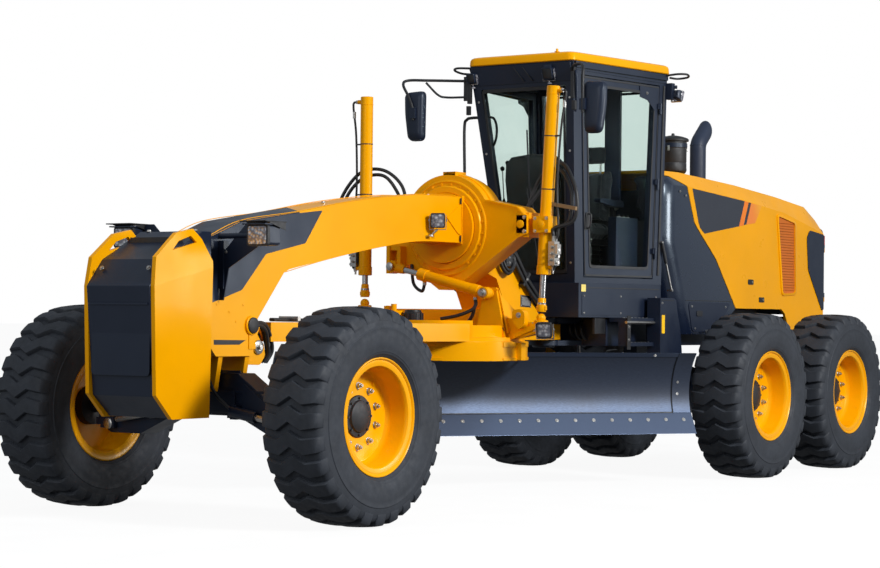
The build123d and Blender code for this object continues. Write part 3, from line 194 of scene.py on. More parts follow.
def glazing(name):
    """Tinted safety glass with a trace of dust."""
    s = Shader(name)
    base = s.mixed(s.ranged(s.noise(3, 3), 0.3, 0.7, 0, 1), (0.74, 0.83, 0.8, 1), (0.78, 0.86, 0.83, 1))
    return s.set(Base_Color=base, Transmission_Weight=1.0, IOR=1.1,
                 Roughness=s.ranged(s.noise(40, 5), 0.45, 0.8, 0.0, 0.05))


YELLOW = colour(250, 172, 0)
CHARCOAL = colour(22, 30, 48)
mats = {
    "yellow": painted("machine_yellow_paint", YELLOW, coat=0.06, gloss=0.26, sheen=(1, 0.72, 0.16, 1)),
    "charcoal": painted("charcoal_grey_paint", CHARCOAL, rough=0.42, coat=0.12, gloss=0.4,
                        sheen=(0.8, 0.9, 1, 1)),
    "cover": painted("tank_cover_paint", colour(17, 25, 44), rough=0.24, coat=0.6, gloss=0.6,
                     sheen=(0.78, 0.9, 1, 1)),
    "wheel": painted("wheel_yellow_paint", colour(255, 178, 0), rough=0.3, coat=0.15,
                     sheen=(1, 0.85, 0.45, 1)),
    "rubber": rubber("tyre_rubber", colour(43, 47, 54)),
    "chrome": bare_steel("chromed_rod", (0.46, 0.46, 0.47, 1), 0.2, (1, 1, 12)),
    "steel": bare_steel("plated_steel", (0.5, 0.49, 0.47, 1), 0.32),
    "iron": bare_steel("engine_iron", (0.09, 0.09, 0.095, 1), 0.5),
    "stack": painted("exhaust_black_paint", colour(42, 52, 72), rough=0.52, coat=0.05),
    "black": plastic("black_plastic", colour(24, 26, 30)),
    "hose": plastic("hose_rubber", colour(20, 21, 24), 0.42, 300),
    "glass": glazing("cab_glass_tint"),
    "edge": bare_steel("ground_edge_steel", (0.1, 0.13, 0.2, 1), 0.36, (3, 3, 30)),
    "seat": plastic("seat_trim", colour(34, 35, 39), 0.85, 900),
}


def moldboard_steel():
    """Painted dark above, lighter bluish steel towards the cutting edge: partly scouring wear, partly a
    painted sheen.
    """
    s = Shader("moldboard_steel")
    split = s.node("ShaderNodeSeparateXYZ")
    s.link(s.place, split.inputs["Vector"])
    wander = s.ranged(s.noise(2.5, 4), 0.3, 0.7, -0.03, 0.03)
    height = s.node("ShaderNodeMath", operation="ADD")
    s.link(split.outputs["Z"], height.inputs[0])
    s.link(wander, height.inputs[1])
    # Mask that rises towards the cutting edge: scouring wear together with a painted sheen.
    wear_and_sheen_mask = s.ranged(height.outputs[0], 0.54, 0.72, 1, 0, smooth=True)
    streak = s.noise(40, 6, (1, 1, 9))
    paint = s.mixed(s.ranged(streak, 0.3, 0.7, 0, 1), colour(38, 46, 62), colour(48, 57, 74))
    # Lighter, bluer steel near the edge: scoured metal and a painted sheen in one colour.
    scoured_and_sheen = s.mixed(s.ranged(streak, 0.3, 0.7, 0, 1), colour(50, 63, 86), colour(74, 91, 118))
    return s.set(Base_Color=s.mixed(wear_and_sheen_mask, paint, scoured_and_sheen), Metallic=s.ranged(wear_and_sheen_mask, 0, 1, 0.2, 0.45),
                 Roughness=s.ranged(wear_and_sheen_mask, 0, 1, 0.4, 0.46), Normal=s.bump(streak, 0.0004, 0.3))


mats["blade"] = moldboard_steel()


# ---------------------------------------------------------------- outlines and mesh building
def rectangle(x0, y0, x1, y1):
    """Corners of a rectangle between two opposite ones."""
    return [(x0, y0), (x1, y0), (x1, y1), (x0, y1)]


def mirrored(side, points):
    """Points for the left (1) or the right (-1): Y is an outline's first value, a place's second."""
    return [(side * p[0], p[1]) if len(p) == 2 else (p[0], side * p[1], p[2]) for p in points]


def rounded(points, radius, steps=4):
    """Outline with its corners rounded."""
    made = []
    for i, p in enumerate(points):
        p = Vector(p)
        a, b = Vector(points[i - 1]) - p, Vector(points[(i + 1) % len(points)]) - p
        r = min(radius, a.length * 0.45, b.length * 0.45)
        start, end = p + a.normalized() * r, p + b.normalized() * r
        for k in range(steps + 1):
            t = k / steps
            made.append((1 - t) ** 2 * start + 2 * t * (1 - t) * p + t ** 2 * end)
    return [tuple(v) for v in made]


def between(rows, at):
    """Value at a place on a line of (place, value) rows, whose places go down."""
    for (x0, v0), (x1, v1) in zip(rows, rows[1:]):
        if at >= x1:
            return v0 + (v1 - v0) * (at - x0) / (x1 - x0)
    return rows[-1][1]


def spun(angle):
    """Turn about the vertical."""
    return Matrix.Rotation(angle, 4, "Z")


def around(count, radius, axis="Z", phase=0.0):
    """Steps of a circle about an axis: (angle, offset from the centre)."""
    for k in range(count):
        angle = 2 * pi * (k + phase) / count
        u, v = radius * cos(angle), radius * sin(angle)
        yield angle, Vector({"X": (0, u, v), "Y": (u, 0, v), "Z": (u, v, 0)}[axis])


def turned(axis):
    """Rotation that takes Z onto this axis."""
    return Vector(axis).normalized().to_track_quat("Z", "Y").to_matrix().to_4x4()


class Piece:
    """One object of the scene: shapes are collected in a mesh, then done() puts it on its body."""

    def __init__(self, name, body, slot, *materials):
        self.name, self.body, self.slot = name, body, slot
        self.materials = materials
        self.bm = bmesh.new()
        self.paint = 0

    def faces(self, rings, closed=False, caps=True):
        """Skin between rings of equal length."""
        rows = [[self.bm.verts.new(p) for p in ring] for ring in rings]
        pairs = list(zip(rows, rows[1:])) + ([(rows[-1], rows[0])] if closed else [])
        made = []
        for a, b in pairs:
            for i in range(len(a)):
                j = (i + 1) % len(a)
                made.append(self.bm.faces.new((a[i], a[j], b[j], b[i])))
        if caps and not closed:
            made += [self.bm.faces.new(rows[0][::-1]), self.bm.faces.new(rows[-1])]
        for f in made:
            f.material_index = self.paint
        return self

    def sheet(self, rows):
        """Open skin through rows of points."""
        grid = [[self.bm.verts.new(p) for p in row] for row in rows]
        for a, b in zip(grid, grid[1:]):
            for i in range(len(a) - 1):
                self.bm.faces.new((a[i], a[i + 1], b[i + 1], b[i])).material_index = self.paint
        return self

    def box(self, centre, size, turn=None):
        """Box about a centre; turn is a rotation matrix."""
        half = Vector(size) / 2
        turn = turn or Matrix.Identity(4)
        ring = rectangle(-1, -1, 1, 1)
        rows = [[Vector(centre) + turn @ Vector((x * half.x, y * half.y, z * half.z)) for x, y in ring]
                for z in (-1, 1)]
        return self.faces(rows)

    def rod(self, a, b, radius, end_radius=None, sides=20):
        """Round bar or cone from a to b."""
        a, b = Vector(a), Vector(b)
        end_radius = radius if end_radius is None else end_radius
        return self.lathe(a, b - a, [(0, radius), ((b - a).length, end_radius)], sides)

    def hexagon(self, a, b, radius):
        """Six-sided bar, as a nut or a bolt's head."""
        return self.rod(a, b, radius, sides=6)

    def lathe(self, origin, axis, profile, sides=32, closed=False, caps=True, start=0):
        """Turned solid: profile rows are (distance along the axis, radius)."""
        turn = turned(axis)
        rings = []
        for along, radius in profile:
            ring = [Vector(origin) + turn @ Vector((radius * cos(2 * pi * i / sides + start),
                                                    radius * sin(2 * pi * i / sides + start), along))
                    for i in range(sides)]
            rings.append(ring)
        return self.faces(rings, closed, caps)

    def prism(self, points, direction):
        """Flat outline pushed along a direction."""
        direction = Vector(direction)
        return self.faces([[Vector(p) for p in points], [Vector(p) + direction for p in points]])

    def use(self, index):
        """Following faces take this material of the piece."""
        self.paint = index
        return self

    def slab(self, points, y, depth):
        """Outline of (X, Z) points at this Y, pushed by depth along Y."""
        return self.prism([(x, y, z) for x, z in points], (0, depth, 0))

    def cross(self, points, x, depth):
        """Outline of (Y, Z) points at this X, pushed by depth along X."""
        return self.prism([(x, y, z) for y, z in points], (depth, 0, 0))

    def level(self, points, z, depth):
        """Outline of (X, Y) points at this height, pushed up by depth."""
        return self.prism([(x, y, z) for x, y in points], (0, 0, depth))

    def bolt(self, place, axis, size=0.012):
        """Washer and hexagon head standing on a face."""
        place, axis = Vector(place), Vector(axis).normalized()
        self.rod(place, place + axis * size * 0.22, size * 1.45, sides=16)
        return self.hexagon(place, place + axis * size * 0.95, size)

    def tube(self, points, radius, sides=10, steps=6, caps=True):
        """Tube along a smooth line through points."""
        line = smooth_line(points, steps)
        rings, side = [], None
        for i, p in enumerate(line):
            run = (line[min(i + 1, len(line) - 1)] - line[max(i - 1, 0)]).normalized()
            side = (run.orthogonal() if side is None else side - run * side.dot(run)).normalized()
            across = run.cross(side)
            rings.append([p + radius * (cos(2 * pi * k / sides) * side + sin(2 * pi * k / sides) * across)
                          for k in range(sides)])
        return self.faces(rings, caps=caps)

    def done(self, bevel=0.0, segments=2, angle=35, sharp=40):
        """Makes the object, with its edges rounded by bevel, and rides it on its body."""
        bmesh.ops.recalc_face_normals(self.bm, faces=self.bm.faces)
        mesh = bpy.data.meshes.new(self.name)
        self.bm.to_mesh(mesh)
        self.bm.free()
        for material in self.materials:
            mesh.materials.append(mats[material])
        mesh.shade_smooth()
        mesh.set_sharp_from_angle(angle=radians(sharp))
        made = bpy.data.objects.new(self.name, mesh)
        bpy.context.scene.collection.objects.link(made)
        if bevel:
            edge = made.modifiers.new("edges", "BEVEL")
            edge.width, edge.segments, edge.angle_limit = bevel, segments, radians(angle)
            edge.harden_normals = True
        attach(made, self.body)
        return made


def smooth_line(points, steps):
    """Catmull-Rom line through points."""
    points = [Vector(p) for p in points]
    if len(points) < 3:
        return points
    ends = [2 * points[0] - points[1]] + points + [2 * points[-1] - points[-2]]
    line = []
    for a, b, c, d in zip(ends, ends[1:], ends[2:], ends[3:]):
        for k in range(steps):
            t = k / steps
            line.append(0.5 * (2 * b + (c - a) * t + (2 * a - 5 * b + 4 * c - d) * t ** 2
                               + (3 * b - a - 3 * c + d) * t ** 3))
    return line + [points[-1]]


# ---------------------------------------------------------------- CAD nodes that stay
# Each row is a finish: CAD nodes, material, record slot, edge rounding.
STAYING = (
    (("front_frame", "lift_saddle", "drawbar", "circle", "blade_carrier", "guard_plates",
      "engine_hood", "lift_barrel_left", "lift_barrel_right", "shift_barrel", "tip_barrel"),
     "yellow", "machine_yellow", 0.004),
    (("guard_block", "front_axle", "lean_bracket_left", "lean_bracket_right", "knuckle_left",
      "knuckle_right", "rear_frame", "rear_axle", "tandem_case_left", "tandem_case_right",
      "rear_bumper", "cab_frame", "cab_base", "cab_steps", "door_left", "door_right",
      "side_shift_barrel", "headlights", "rear_grille_door"), "charcoal", "charcoal_paint", 0.004),
    (("lift_rod_left", "lift_rod_right", "shift_rod", "tip_rod", "side_shift_rod"),
     "chrome", "cylinder_rod", 0.001),
    (("cab_glass", "door_glass_left", "door_glass_right"), "glass", "cab_glazing", 0.0005),
    (("moldboard",), "blade", "blade_steel", 0.002),
    (("cutting_edge",), "edge", "edge_steel", 0.002),
    (("engine_block",), "iron", "engine_iron", 0.006),
    (("exhaust_stack",), "stack", "exhaust_steel", 0.002),
    (("steering_console",), "black", "cab_plastic", 0.004),
    (("operator_seat",), "seat", "seat_fabric", 0.01),
)
for names, material, slot_name, rounding in STAYING:
    for name in names:
        node = nodes[name]
        node.data.materials.clear()
        node.data.materials.append(mats[material])
        weld = node.modifiers.new("weld", "WELD")
        weld.merge_threshold = 0.00002
        edge = node.modifiers.new("edges", "BEVEL")
        edge.width, edge.segments, edge.angle_limit = rounding, 2, radians(35)
        edge.use_clamp_overlap = True
        node.modifiers.new("normals", "WEIGHTED_NORMAL").keep_sharp = True


# ---------------------------------------------------------------- wheels
TYRE_R, TREAD_HALF = 0.665, 0.195
LUGS, LUG_SHARE, GROOVE = 28, 0.66, 0.03
NUTS, NUT_CIRCLE = 10, 0.186
# Across the tread, from the outer shoulder: share of the half width, lug's line round the tyre.
LUG_LINE = ((1.0, 0.0), (0.5, 0.012), (0.04, -0.036), (-0.42, 0.02), (-1.0, 0.0))


def make_tyre(name, body, centre, side):
    """Carcass with ribbed sidewalls, and chevron lugs that run over both shoulders."""
    piece = Piece(f"{name}_tyre_detail", body, "tyre_rubber", "rubber")
    half_profile = [(0.168, 0.318), (0.1775, 0.322), (0.1775, 0.361), (0.186, 0.3625), (0.192, 0.368),
                    (0.197, 0.377), (0.204, 0.382), (0.206, 0.392), (0.2095, 0.396), (0.2105, 0.404),
                    (0.2165, 0.42), (0.2205, 0.45), (0.2222, 0.48), (0.2215, 0.505), (0.2185, 0.53),
                    (0.22, 0.534), (0.2195, 0.541), (0.2155, 0.545), (0.2125, 0.57), (0.2065, 0.596),
                    (0.197, 0.616), (0.18, 0.628), (0.1, 0.634)]
    profile = [(-a, r) for a, r in half_profile] + [(0, TYRE_R - GROOVE)]
    profile += [(a, r) for a, r in half_profile[::-1]]
    axis = LEFT * side
    piece.lathe(centre, axis, profile, 144, closed=True)
    stations = ((1.085, 0.6), (1.05, 0.622), (1.01, 0.642), (0.95, 0.652), (0.8, 0.657), (0.5, 0.662),
                (0.3, 0.664), (0.04, 0.665), (-0.2, 0.664), (-0.42, 0.663), (-0.65, 0.66), (-0.8, 0.657),
                (-0.95, 0.652), (-1.01, 0.642), (-1.05, 0.622), (-1.085, 0.6))
    turn = turned(axis)
    pitch = 2 * pi * TYRE_R / LUGS
    for lug in range(LUGS):
        rings = []
        for share, radius in stations:
            y = share * TREAD_HALF
            shift = between(LUG_LINE, share)
            taper = 1 - 0.16 * max(0, abs(share) - 0.6)
            width = pitch * LUG_SHARE * taper
            foot = radius - GROOVE - 0.006 if abs(share) < 1 else radius - 0.02
            ring = []
            for across, depth in ((-0.54, foot), (-0.5, radius - 0.007), (-0.45, radius),
                                  (0, radius + 0.0004), (0.45, radius), (0.5, radius - 0.007),
                                  (0.54, foot)):
                angle = 2 * pi * lug / LUGS + (shift + across * width) / TYRE_R
                ring.append(Vector(centre) + turn @ Vector((depth * cos(angle), depth * sin(angle), y)))
            rings.append(ring)
        piece.faces(rings)
    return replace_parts(piece.done(sharp=32), f"{name}_tyre")


def make_rim(name, body, centre, side):
    """Rolled rim with a dished disc, hub cap, nuts and valve."""
    axis = LEFT * side
    rim = Piece(f"{name}_rim_detail", body, "wheel_yellow", "wheel")
    outer = [(0.02, 0.128), (0.02, 0.262), (0.024, 0.276), (0.04, 0.288), (0.06, 0.2935), (0.15, 0.298),
             (0.166, 0.302), (0.176, 0.309), (0.178, 0.318), (0.1795, 0.334), (0.1745, 0.3375),
             (0.1745, 0.3415), (0.18, 0.3445), (0.1865, 0.348), (0.19, 0.3535), (0.1885, 0.359),
             (0.184, 0.36), (0.1785, 0.359), (0.1778, 0.3177)]
    inner = [(-0.1778, 0.3177), (-0.178, 0.36), (-0.186, 0.36), (-0.19, 0.355), (-0.19, 0.345),
             (-0.18, 0.312), (-0.17, 0.3), (-0.02, 0.2955), (-0.002, 0.285), (-0.002, 0.128)]
    rim.lathe(centre, axis, outer + inner, 112, closed=True)
    turn = turned(axis)
    start = Vector(centre)

    def at(angle, radius, along):
        return start + turn @ Vector((radius * cos(angle), radius * sin(angle), along))

    rim.rod(at(0.9, 0.25, 0.02), at(0.9, 0.25, 0.026), 0.016, sides=20)
    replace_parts(rim.done(sharp=30), f"{name}_rim")
    nuts = Piece(f"{name}_wheel_nuts", body, "edge_steel", "steel")
    for i in range(NUTS):
        angle = 2 * pi * (i + 0.5) / NUTS
        nuts.rod(at(angle, NUT_CIRCLE, 0.0195), at(angle, NUT_CIRCLE, 0.024), 0.0225)
        nuts.hexagon(at(angle, NUT_CIRCLE, 0.0235), at(angle, NUT_CIRCLE, 0.044), 0.0175)
        nuts.rod(at(angle, NUT_CIRCLE, 0.043), at(angle, NUT_CIRCLE, 0.056), 0.0095, sides=12)
    nuts.rod(at(2.2, 0.292, 0.095), at(2.2, 0.262, 0.102), 0.006, sides=10)
    nuts.rod(at(2.2, 0.268, 0.1), at(2.2, 0.254, 0.103), 0.009, sides=10)
    nuts.done(bevel=0.0015, segments=1)
    hub = Piece(f"{name}_hub_cap", body, "charcoal_paint", "black")
    hub.lathe(centre, axis, [(-0.058, 0.02), (-0.058, 0.124), (0.004, 0.129), (0.026, 0.129),
                             (0.032, 0.124), (0.034, 0.1), (0.047, 0.094), (0.055, 0.075), (0.06, 0.045),
                             (0.062, 0.01)], 48)
    for i in range(8):
        angle = 2 * pi * i / 8
        hub.hexagon(at(angle, 0.112, 0.032), at(angle, 0.112, 0.042), 0.0085)
    hub.done(sharp=35)


for side_name, side in SIDES:
    for place in ("front", "tandem_front", "tandem_rear"):
        low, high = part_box(f"{place}_{side_name}_tyre")
        middle = (low + high) / 2
        name = f"{place}_{side_name}"
        body = nodes[f"{name}_tyre"]["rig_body"]
        make_tyre(name, body, middle, side)
        make_rim(name, body, middle, side)


# ---------------------------------------------------------------- front frame, guard and lights
def copied(name, node, material):
    """Copy of a CAD node's mesh as a new object, ready to be reshaped."""
    made = bpy.data.objects.new(name, nodes[node].data.copy())
    bpy.context.scene.collection.objects.link(made)
    made.data.materials.clear()
    made.data.materials.append(mats[material])
    return made


def eased(obj, rounding):
    """Welds, then rounds the edges of an object."""
    obj.modifiers.new("weld", "WELD").merge_threshold = 0.00002
    edge = obj.modifiers.new("edges", "BEVEL")
    edge.width, edge.segments, edge.angle_limit = rounding, 3, radians(20)
    obj.modifiers.new("normals", "WEIGHTED_NORMAL").keep_sharp = True
    return obj


# Guard plates, their heads bent slightly inward above a crease.
CREASE = (Vector((4.39, 0, 1.437)), Vector((3.86, 0, 1.557)))
plates = copied("guard_plates_bent", "guard_plates", "yellow")
bm = bmesh.new()
bm.from_mesh(plates.data)
bmesh.ops.remove_doubles(bm, verts=bm.verts, dist=0.00002)
run = (CREASE[1] - CREASE[0]).normalized()
normal = Vector((-run.z, 0, run.x))
normal = normal if normal.z > 0 else -normal
bmesh.ops.bisect_plane(bm, geom=bm.verts[:] + bm.edges[:] + bm.faces[:], plane_co=CREASE[0],
                       plane_no=normal, dist=0.00001)
for v in bm.verts:
    above = (v.co - CREASE[0]).dot(normal)
    if above > 0.0001:
        v.co.y -= above * tan(radians(4)) * (1 if v.co.y > 0 else -1)
bm.to_mesh(plates.data)
bm.free()
eased(plates, 0.0035)
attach(plates, "front_unit")
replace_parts(plates, "guard_plates")

guard = Piece("guard_block_trim", "front_unit", "charcoal_paint", "charcoal", "steel", "black")
guard.box((4.402 - 0.004, 0, 1.33), (0.004, 0.47, 0.012))
guard.cross(rounded(rectangle(-0.235, 0.9, 0.235, 1.3), 0.03), 4.366, 0.006)
for y in (-0.19, 0.19):
    guard.use(1).bolt((4.337, y, 1.545), (0.79, 0, 0.61), 0.011)
    guard.bolt((3.92, y, 1.7805), (0, 0, 1), 0.013)
guard.use(2).cross(rectangle(-0.21, 1.66, 0.21, 1.74), 4.06, 0.01)
guard.done(bevel=0.002)

# Panels painted on the gooseneck, and the openings and bolts of its nose.
PANEL = [(3.838, 1.716), (3.452, 1.853), (2.892, 1.936), (2.615, 1.968), (2.795, 1.744), (3.2, 1.662),
         (3.435, 1.428), (3.685, 1.355), (3.838, 1.312)]
neck = Piece("gooseneck_panels", "front_unit", "charcoal_paint", "charcoal", "black", "steel", "yellow")
for side in (1, -1):
    y = side * 0.1601
    neck.use(0).slab(rounded(PANEL, 0.012), y, side * 0.0012)
    # Black sheet: painted shade standing in for the long opening low on the nose.
    neck.use(1).slab([(3.703, 1.114), (3.394, 1.111), (3.455, 1.083), (3.702, 1.083)], y, side * 0.0012)
    neck.use(3)
    for x, z in ((3.676, 1.335), (3.419, 1.335), (3.554, 1.29), (3.488, 1.228)):
        neck.rod((x, y, z), (x, y + side * 0.003, z), 0.009, sides=14)
    neck.use(3).lathe((3.34, y, 1.205), (0, side, 0), [(0, 0.062), (0.012, 0.062), (0.016, 0.056)], 28)
    neck.use(1).lathe((3.34, y + side * 0.014, 1.205), (0, side, 0),
                      [(0, 0.052), (0.01, 0.05), (0.014, 0.04)], 28)
    neck.use(3).slab([(3.366, 1.055), (3.366, 1.15), (3.285, 1.235), (3.262, 1.19), (3.3, 1.12),
                      (3.3, 1.055)], y, side * 0.006)
neck.done(bevel=0.0006, segments=1)
skin = Piece("gooseneck_top_panel", "front_unit", "charcoal_paint", "charcoal")
rows = []
for x, z, far in ((3.838, 1.7213, 3.838), (3.452, 1.8625, 3.452), (2.86, 1.9497, 2.6)):
    far_z = z if far == x else 1.9955
    rows.append([(x, 0.1612, z - 0.014), (x, 0.1612, z - 0.004), (x, 0.1575, z + 0.0006),
                 (far, -0.1575, far_z + 0.0006), (far, -0.1612, far_z - 0.004),
                 (far, -0.1612, far_z - 0.014)])
skin.sheet(rows).done(bevel=0)

# Forked bracket that holds the drawbar's ball, and the hoses that fan down behind it.
ball = Piece("drawbar_ball_bracket", "front_unit", "machine_yellow", "yellow", "steel", "hose")
for side in (1, -1):
    ball.use(0).slab(rounded([(3.345, 0.955), (3.345, 1.125), (3.262, 1.195), (3.235, 1.12),
                              (3.135, 1.09), (3.12, 1.01), (3.17, 0.95)], 0.02), side * 0.062,
                     side * 0.036)
    ball.use(1).lathe((3.2, side * 0.098, 1.065), (0, side, 0),
                      [(0, 0.046), (0.014, 0.046), (0.018, 0.04)], 24)
    ball.bolt((3.2, side * 0.116, 1.065), (0, side, 0), 0.018)
ball.use(0).box((3.29, 0, 0.968), (0.1, 0.2, 0.03))
ball.use(2)
for i, (y, reach, drop) in enumerate(((0.135, 0.0, 0.0), (0.105, 0.028, 0.01), (0.135, 0.052, 0.014),
                                      (0.075, 0.075, 0.03))):
    ball.tube([(3.335, 0.172 if i < 3 else 0.1, 1.205 - i * 0.016), (3.27, y + 0.03, 1.222 - drop),
               (3.165, y, 1.205 - drop - reach * 0.4), (3.09 + reach * 0.5, y - 0.02, 1.13 - reach),
               (3.062 + reach * 0.7, y - 0.03, 1.04 - reach * 0.4), (3.1 + reach * 0.4, y - 0.05, 0.965)],
              0.013, sides=12, steps=8)
ball.done(bevel=0.003)

axle = Piece("front_axle_trim", "front_unit", "charcoal_paint", "charcoal", "steel", "hose", "black")
for z, depth in ((0.935, 0.01), (0.812, 0.006)):
    axle.box((3.578 + depth / 2, 0, z - 0.02), (depth, 1.0 if z < 0.9 else 0.56, 0.018))
axle.cross(rectangle(-0.24, 0.66, 0.24, 0.8), 3.575, 0.016)
axle.use(3).cross(rounded(rectangle(0.352, 0.733, 0.425, 0.801), 0.006), 3.5755, 0.003)
for side in (1, -1):
    axle.use(0).cross(rounded(mirrored(side, [(0.3, 0.665), (0.3, 0.85), (0.52, 0.7), (0.52, 0.62)]), 0.02),
                      3.575, 0.01)
    axle.use(1).rod((3.62, side * 0.72, 0.59), (3.62, side * 0.3, 0.66), 0.02)
    axle.use(0).rod((3.62, side * 0.44, 0.637), (3.62, side * 0.24, 0.67), 0.036)
    axle.box((3.6, side * 0.26, 0.665), (0.06, 0.05, 0.09))
    axle.use(2).tube(mirrored(side, [(3.64, 0.24, 0.69), (3.66, 0.14, 0.78), (3.62, 0.05, 0.9),
                                     (3.56, 0.03, 1.0)]), 0.011, sides=10)
    for x in (3.4, 3.58):
        axle.use(1).lathe((x, side * 0.8, 0.56), (1 if x > 3.5 else -1, 0, 0),
                          [(0.03, 0.036), (0.043, 0.036), (0.046, 0.03)], 20)
axle.use(1).rod((3.3, 0.7, 0.66), (3.3, -0.7, 0.66), 0.021)
for side in (1, -1):
    axle.use(0).rod((3.3, side * 0.62, 0.66), (3.3, side * 0.7, 0.66), 0.032)
axle.use(0).box((3.3, 0, 0.66), (0.06, 0.08, 0.1)).box((3.36, 0, 0.69), (0.12, 0.06, 0.05))
axle.done(bevel=0.002)


def lens_material():
    """Clear moulded lens over a bright reflector, with a cellular pattern."""
    s = Shader("lamp_lens")
    cell = s.node("ShaderNodeTexVoronoi", feature="F1")
    cell.inputs["Scale"].default_value = 42
    s.link(s.place, cell.inputs["Vector"])
    tone = s.ranged(cell.outputs["Distance"], 0.1, 0.6, 0, 1)
    base = s.mixed(tone, (0.8, 0.8, 0.83, 1), (0.2, 0.2, 0.24, 1))
    return s.set(Base_Color=base, Roughness=0.16, Metallic=0.55, Coat_Weight=1.0, Coat_Roughness=0.03,
                 Normal=s.bump(cell.outputs["Distance"], 0.004, 0.7))


def glow_lens(name, tint, rough=0.18):
    """Tinted moulded lens with fine ribs."""
    s = Shader(name)
    wave = s.node("ShaderNodeTexWave", wave_type="BANDS", bands_direction="Z")
    wave.inputs["Scale"].default_value = 60
    s.link(s.place, wave.inputs["Vector"])
    base = s.mixed(wave.outputs["Fac"], tint, shaded(tint, 0.6))
    return s.set(Base_Color=base, Roughness=rough, Coat_Weight=0.8,
                 Normal=s.bump(wave.outputs["Fac"], 0.001, 0.4))


mats["lens"] = lens_material()
mats["red"] = glow_lens("tail_lens", colour(200, 30, 22))
mats["amber"] = glow_lens("amber_lens", colour(240, 120, 10))


def basis(facing, up=UP):
    """Matrix whose Z faces out and whose Y is up."""
    z = Vector(facing).normalized()
    x = Vector(up).cross(z).normalized()
    return Matrix((x, z.cross(x), z)).transposed().to_4x4()


def work_light(piece, centre, facing, size=0.1, stem=None):
    """Square lamp: finned case, bezel, lens and its stirrup. Materials: 0 case, 1 lens, 2 steel."""
    turn, centre = basis(facing), Vector(centre)

    def at(x, y, z):
        return centre + turn @ Vector((x, y, z))

    half = size / 2
    shape = rounded(rectangle(-half, -half, half, half), size * 0.14, 3)

    def ring(scale, z):
        return [at(x * scale, y * scale, z) for x, y in shape]

    piece.use(0).faces([ring(0.7, -0.052), ring(0.88, -0.04), ring(0.92, -0.012), ring(1.0, -0.01),
                        ring(1.0, 0.006), ring(0.93, 0.01), ring(0.86, 0.01), ring(0.84, 0.004)])
    piece.use(1).faces([ring(0.85, 0.0035), ring(0.85, 0.006), ring(0.78, 0.0075)])
    piece.use(0)
    for k in (-2, -1, 0, 1, 2):
        piece.box(at(k * size * 0.15, 0, -0.052), (0.004, size * 0.74, 0.018), turn)
    piece.use(2)
    for x in (-1, 1):
        piece.box(at(x * (half + 0.006), -half * 0.2, -0.02), (0.004, size * 0.9, 0.022), turn)
        piece.hexagon(at(x * (half + 0.004), 0, -0.02), at(x * (half + 0.014), 0, -0.02), 0.009)
    piece.box(at(0, -half - 0.012, -0.02), (size + 0.016, 0.004, 0.022), turn)
    if stem:
        foot = Vector(stem)
        piece.rod(at(0, -half - 0.01, -0.02), foot, 0.008)
        piece.rod(foot - Vector((0, 0, 0.004)), foot + Vector((0, 0, 0.006)), 0.02)


lights = Piece("headlight_detail", "front_unit", "lamp_black", "black", "lens", "charcoal", "steel")
for side in (1, -1):
    y = side * 0.55
    lights.use(0).cross(rounded(rectangle(y - 0.082, 1.69, y + 0.082, 1.824), 0.02), 3.742, 0.024)
    lights.use(1).cross(rounded(rectangle(y - 0.07, 1.702, y + 0.07, 1.812), 0.016), 3.7655, 0.004)
    lights.use(0).level([(3.585, y - 0.085), (3.585, y + 0.085), (3.815, y + 0.105), (3.815, y - 0.105)],
                        1.838, 0.007)
    for edge in (-1, 1):
        lights.slab([(3.6, 1.838), (3.6, 1.79), (3.79, 1.842)], y + edge * 0.086, 0.004)
    lights.use(2).cross(mirrored(side, [(0.455, 1.842), (0.385, 1.842), (0.175, 1.64), (0.165, 1.36),
                                        (0.2, 1.36), (0.24, 1.56), (0.47, 1.69)]), 3.655, 0.008)
    lights.box((3.648, side * 0.185, 1.58), (0.05, 0.044, 0.3))
    lights.use(3)
    for z in (1.44, 1.52, 1.66):
        lights.bolt((3.663, side * (0.188 + max(0, z - 1.6) * 0.5), z), (1, 0, 0), 0.008)
lights.done(bevel=0.0015, segments=1)


# ---------------------------------------------------------------- saddle, lift and shift cylinders
HUB = Vector((0.93, 0, 1.92))
saddle = Piece("lift_saddle_detail", "front_unit", "machine_yellow", "yellow", "steel", "black")
saddle.lathe(HUB, FORWARD, [(0.0003, 0.352), (0.006, 0.352), (0.01, 0.346), (0.01, 0.338), (0.004, 0.334),
                            (0.004, 0.312), (0.014, 0.308), (0.02, 0.302), (0.02, 0.262), (0.016, 0.257),
                            (0.0003, 0.257)], 96, closed=True)
saddle.lathe(HUB - FORWARD * 0.12, FORWARD, [(0, 0.38), (0, 0.397), (0.006, 0.402), (0.05, 0.402),
                                             (0.056, 0.397), (0.056, 0.38)], 112, closed=True)
for _, offset in around(24, 0.323, "X", 0.5):
    spot = HUB + FORWARD * 0.004 + offset
    if abs(spot.y) > 0.19 or spot.z > 2.17:
        saddle.bolt(spot, (1, 0, 0), 0.0085)
saddle.box((0.835, 0, 2.318), (0.13, 0.105, 0.034))
for side in (1, -1):
    saddle.use(0)
    saddle.cross(mirrored(side, [(0.36, 2.108), (0.36, 2.12), (0.612, 2.07), (0.682, 2.006), (0.67, 2.0),
                                 (0.608, 2.058)]), 0.9302, 0.01)
    saddle.box((0.835, side * 0.668, 1.935), (0.15, 0.06, 0.175))
    saddle.box((0.915, side * 0.65, 1.94), (0.03, 0.09, 0.13))
    saddle.use(1).bolt((0.93, side * 0.672, 1.99), (1, 0, 0), 0.011)
    saddle.bolt((0.93, side * 0.672, 1.888), (1, 0, 0), 0.011)
    saddle.use(0).lathe((0.93, side * 0.64, 1.94), FORWARD, [(0, 0.03), (0.008, 0.03), (0.01, 0.024)], 20)
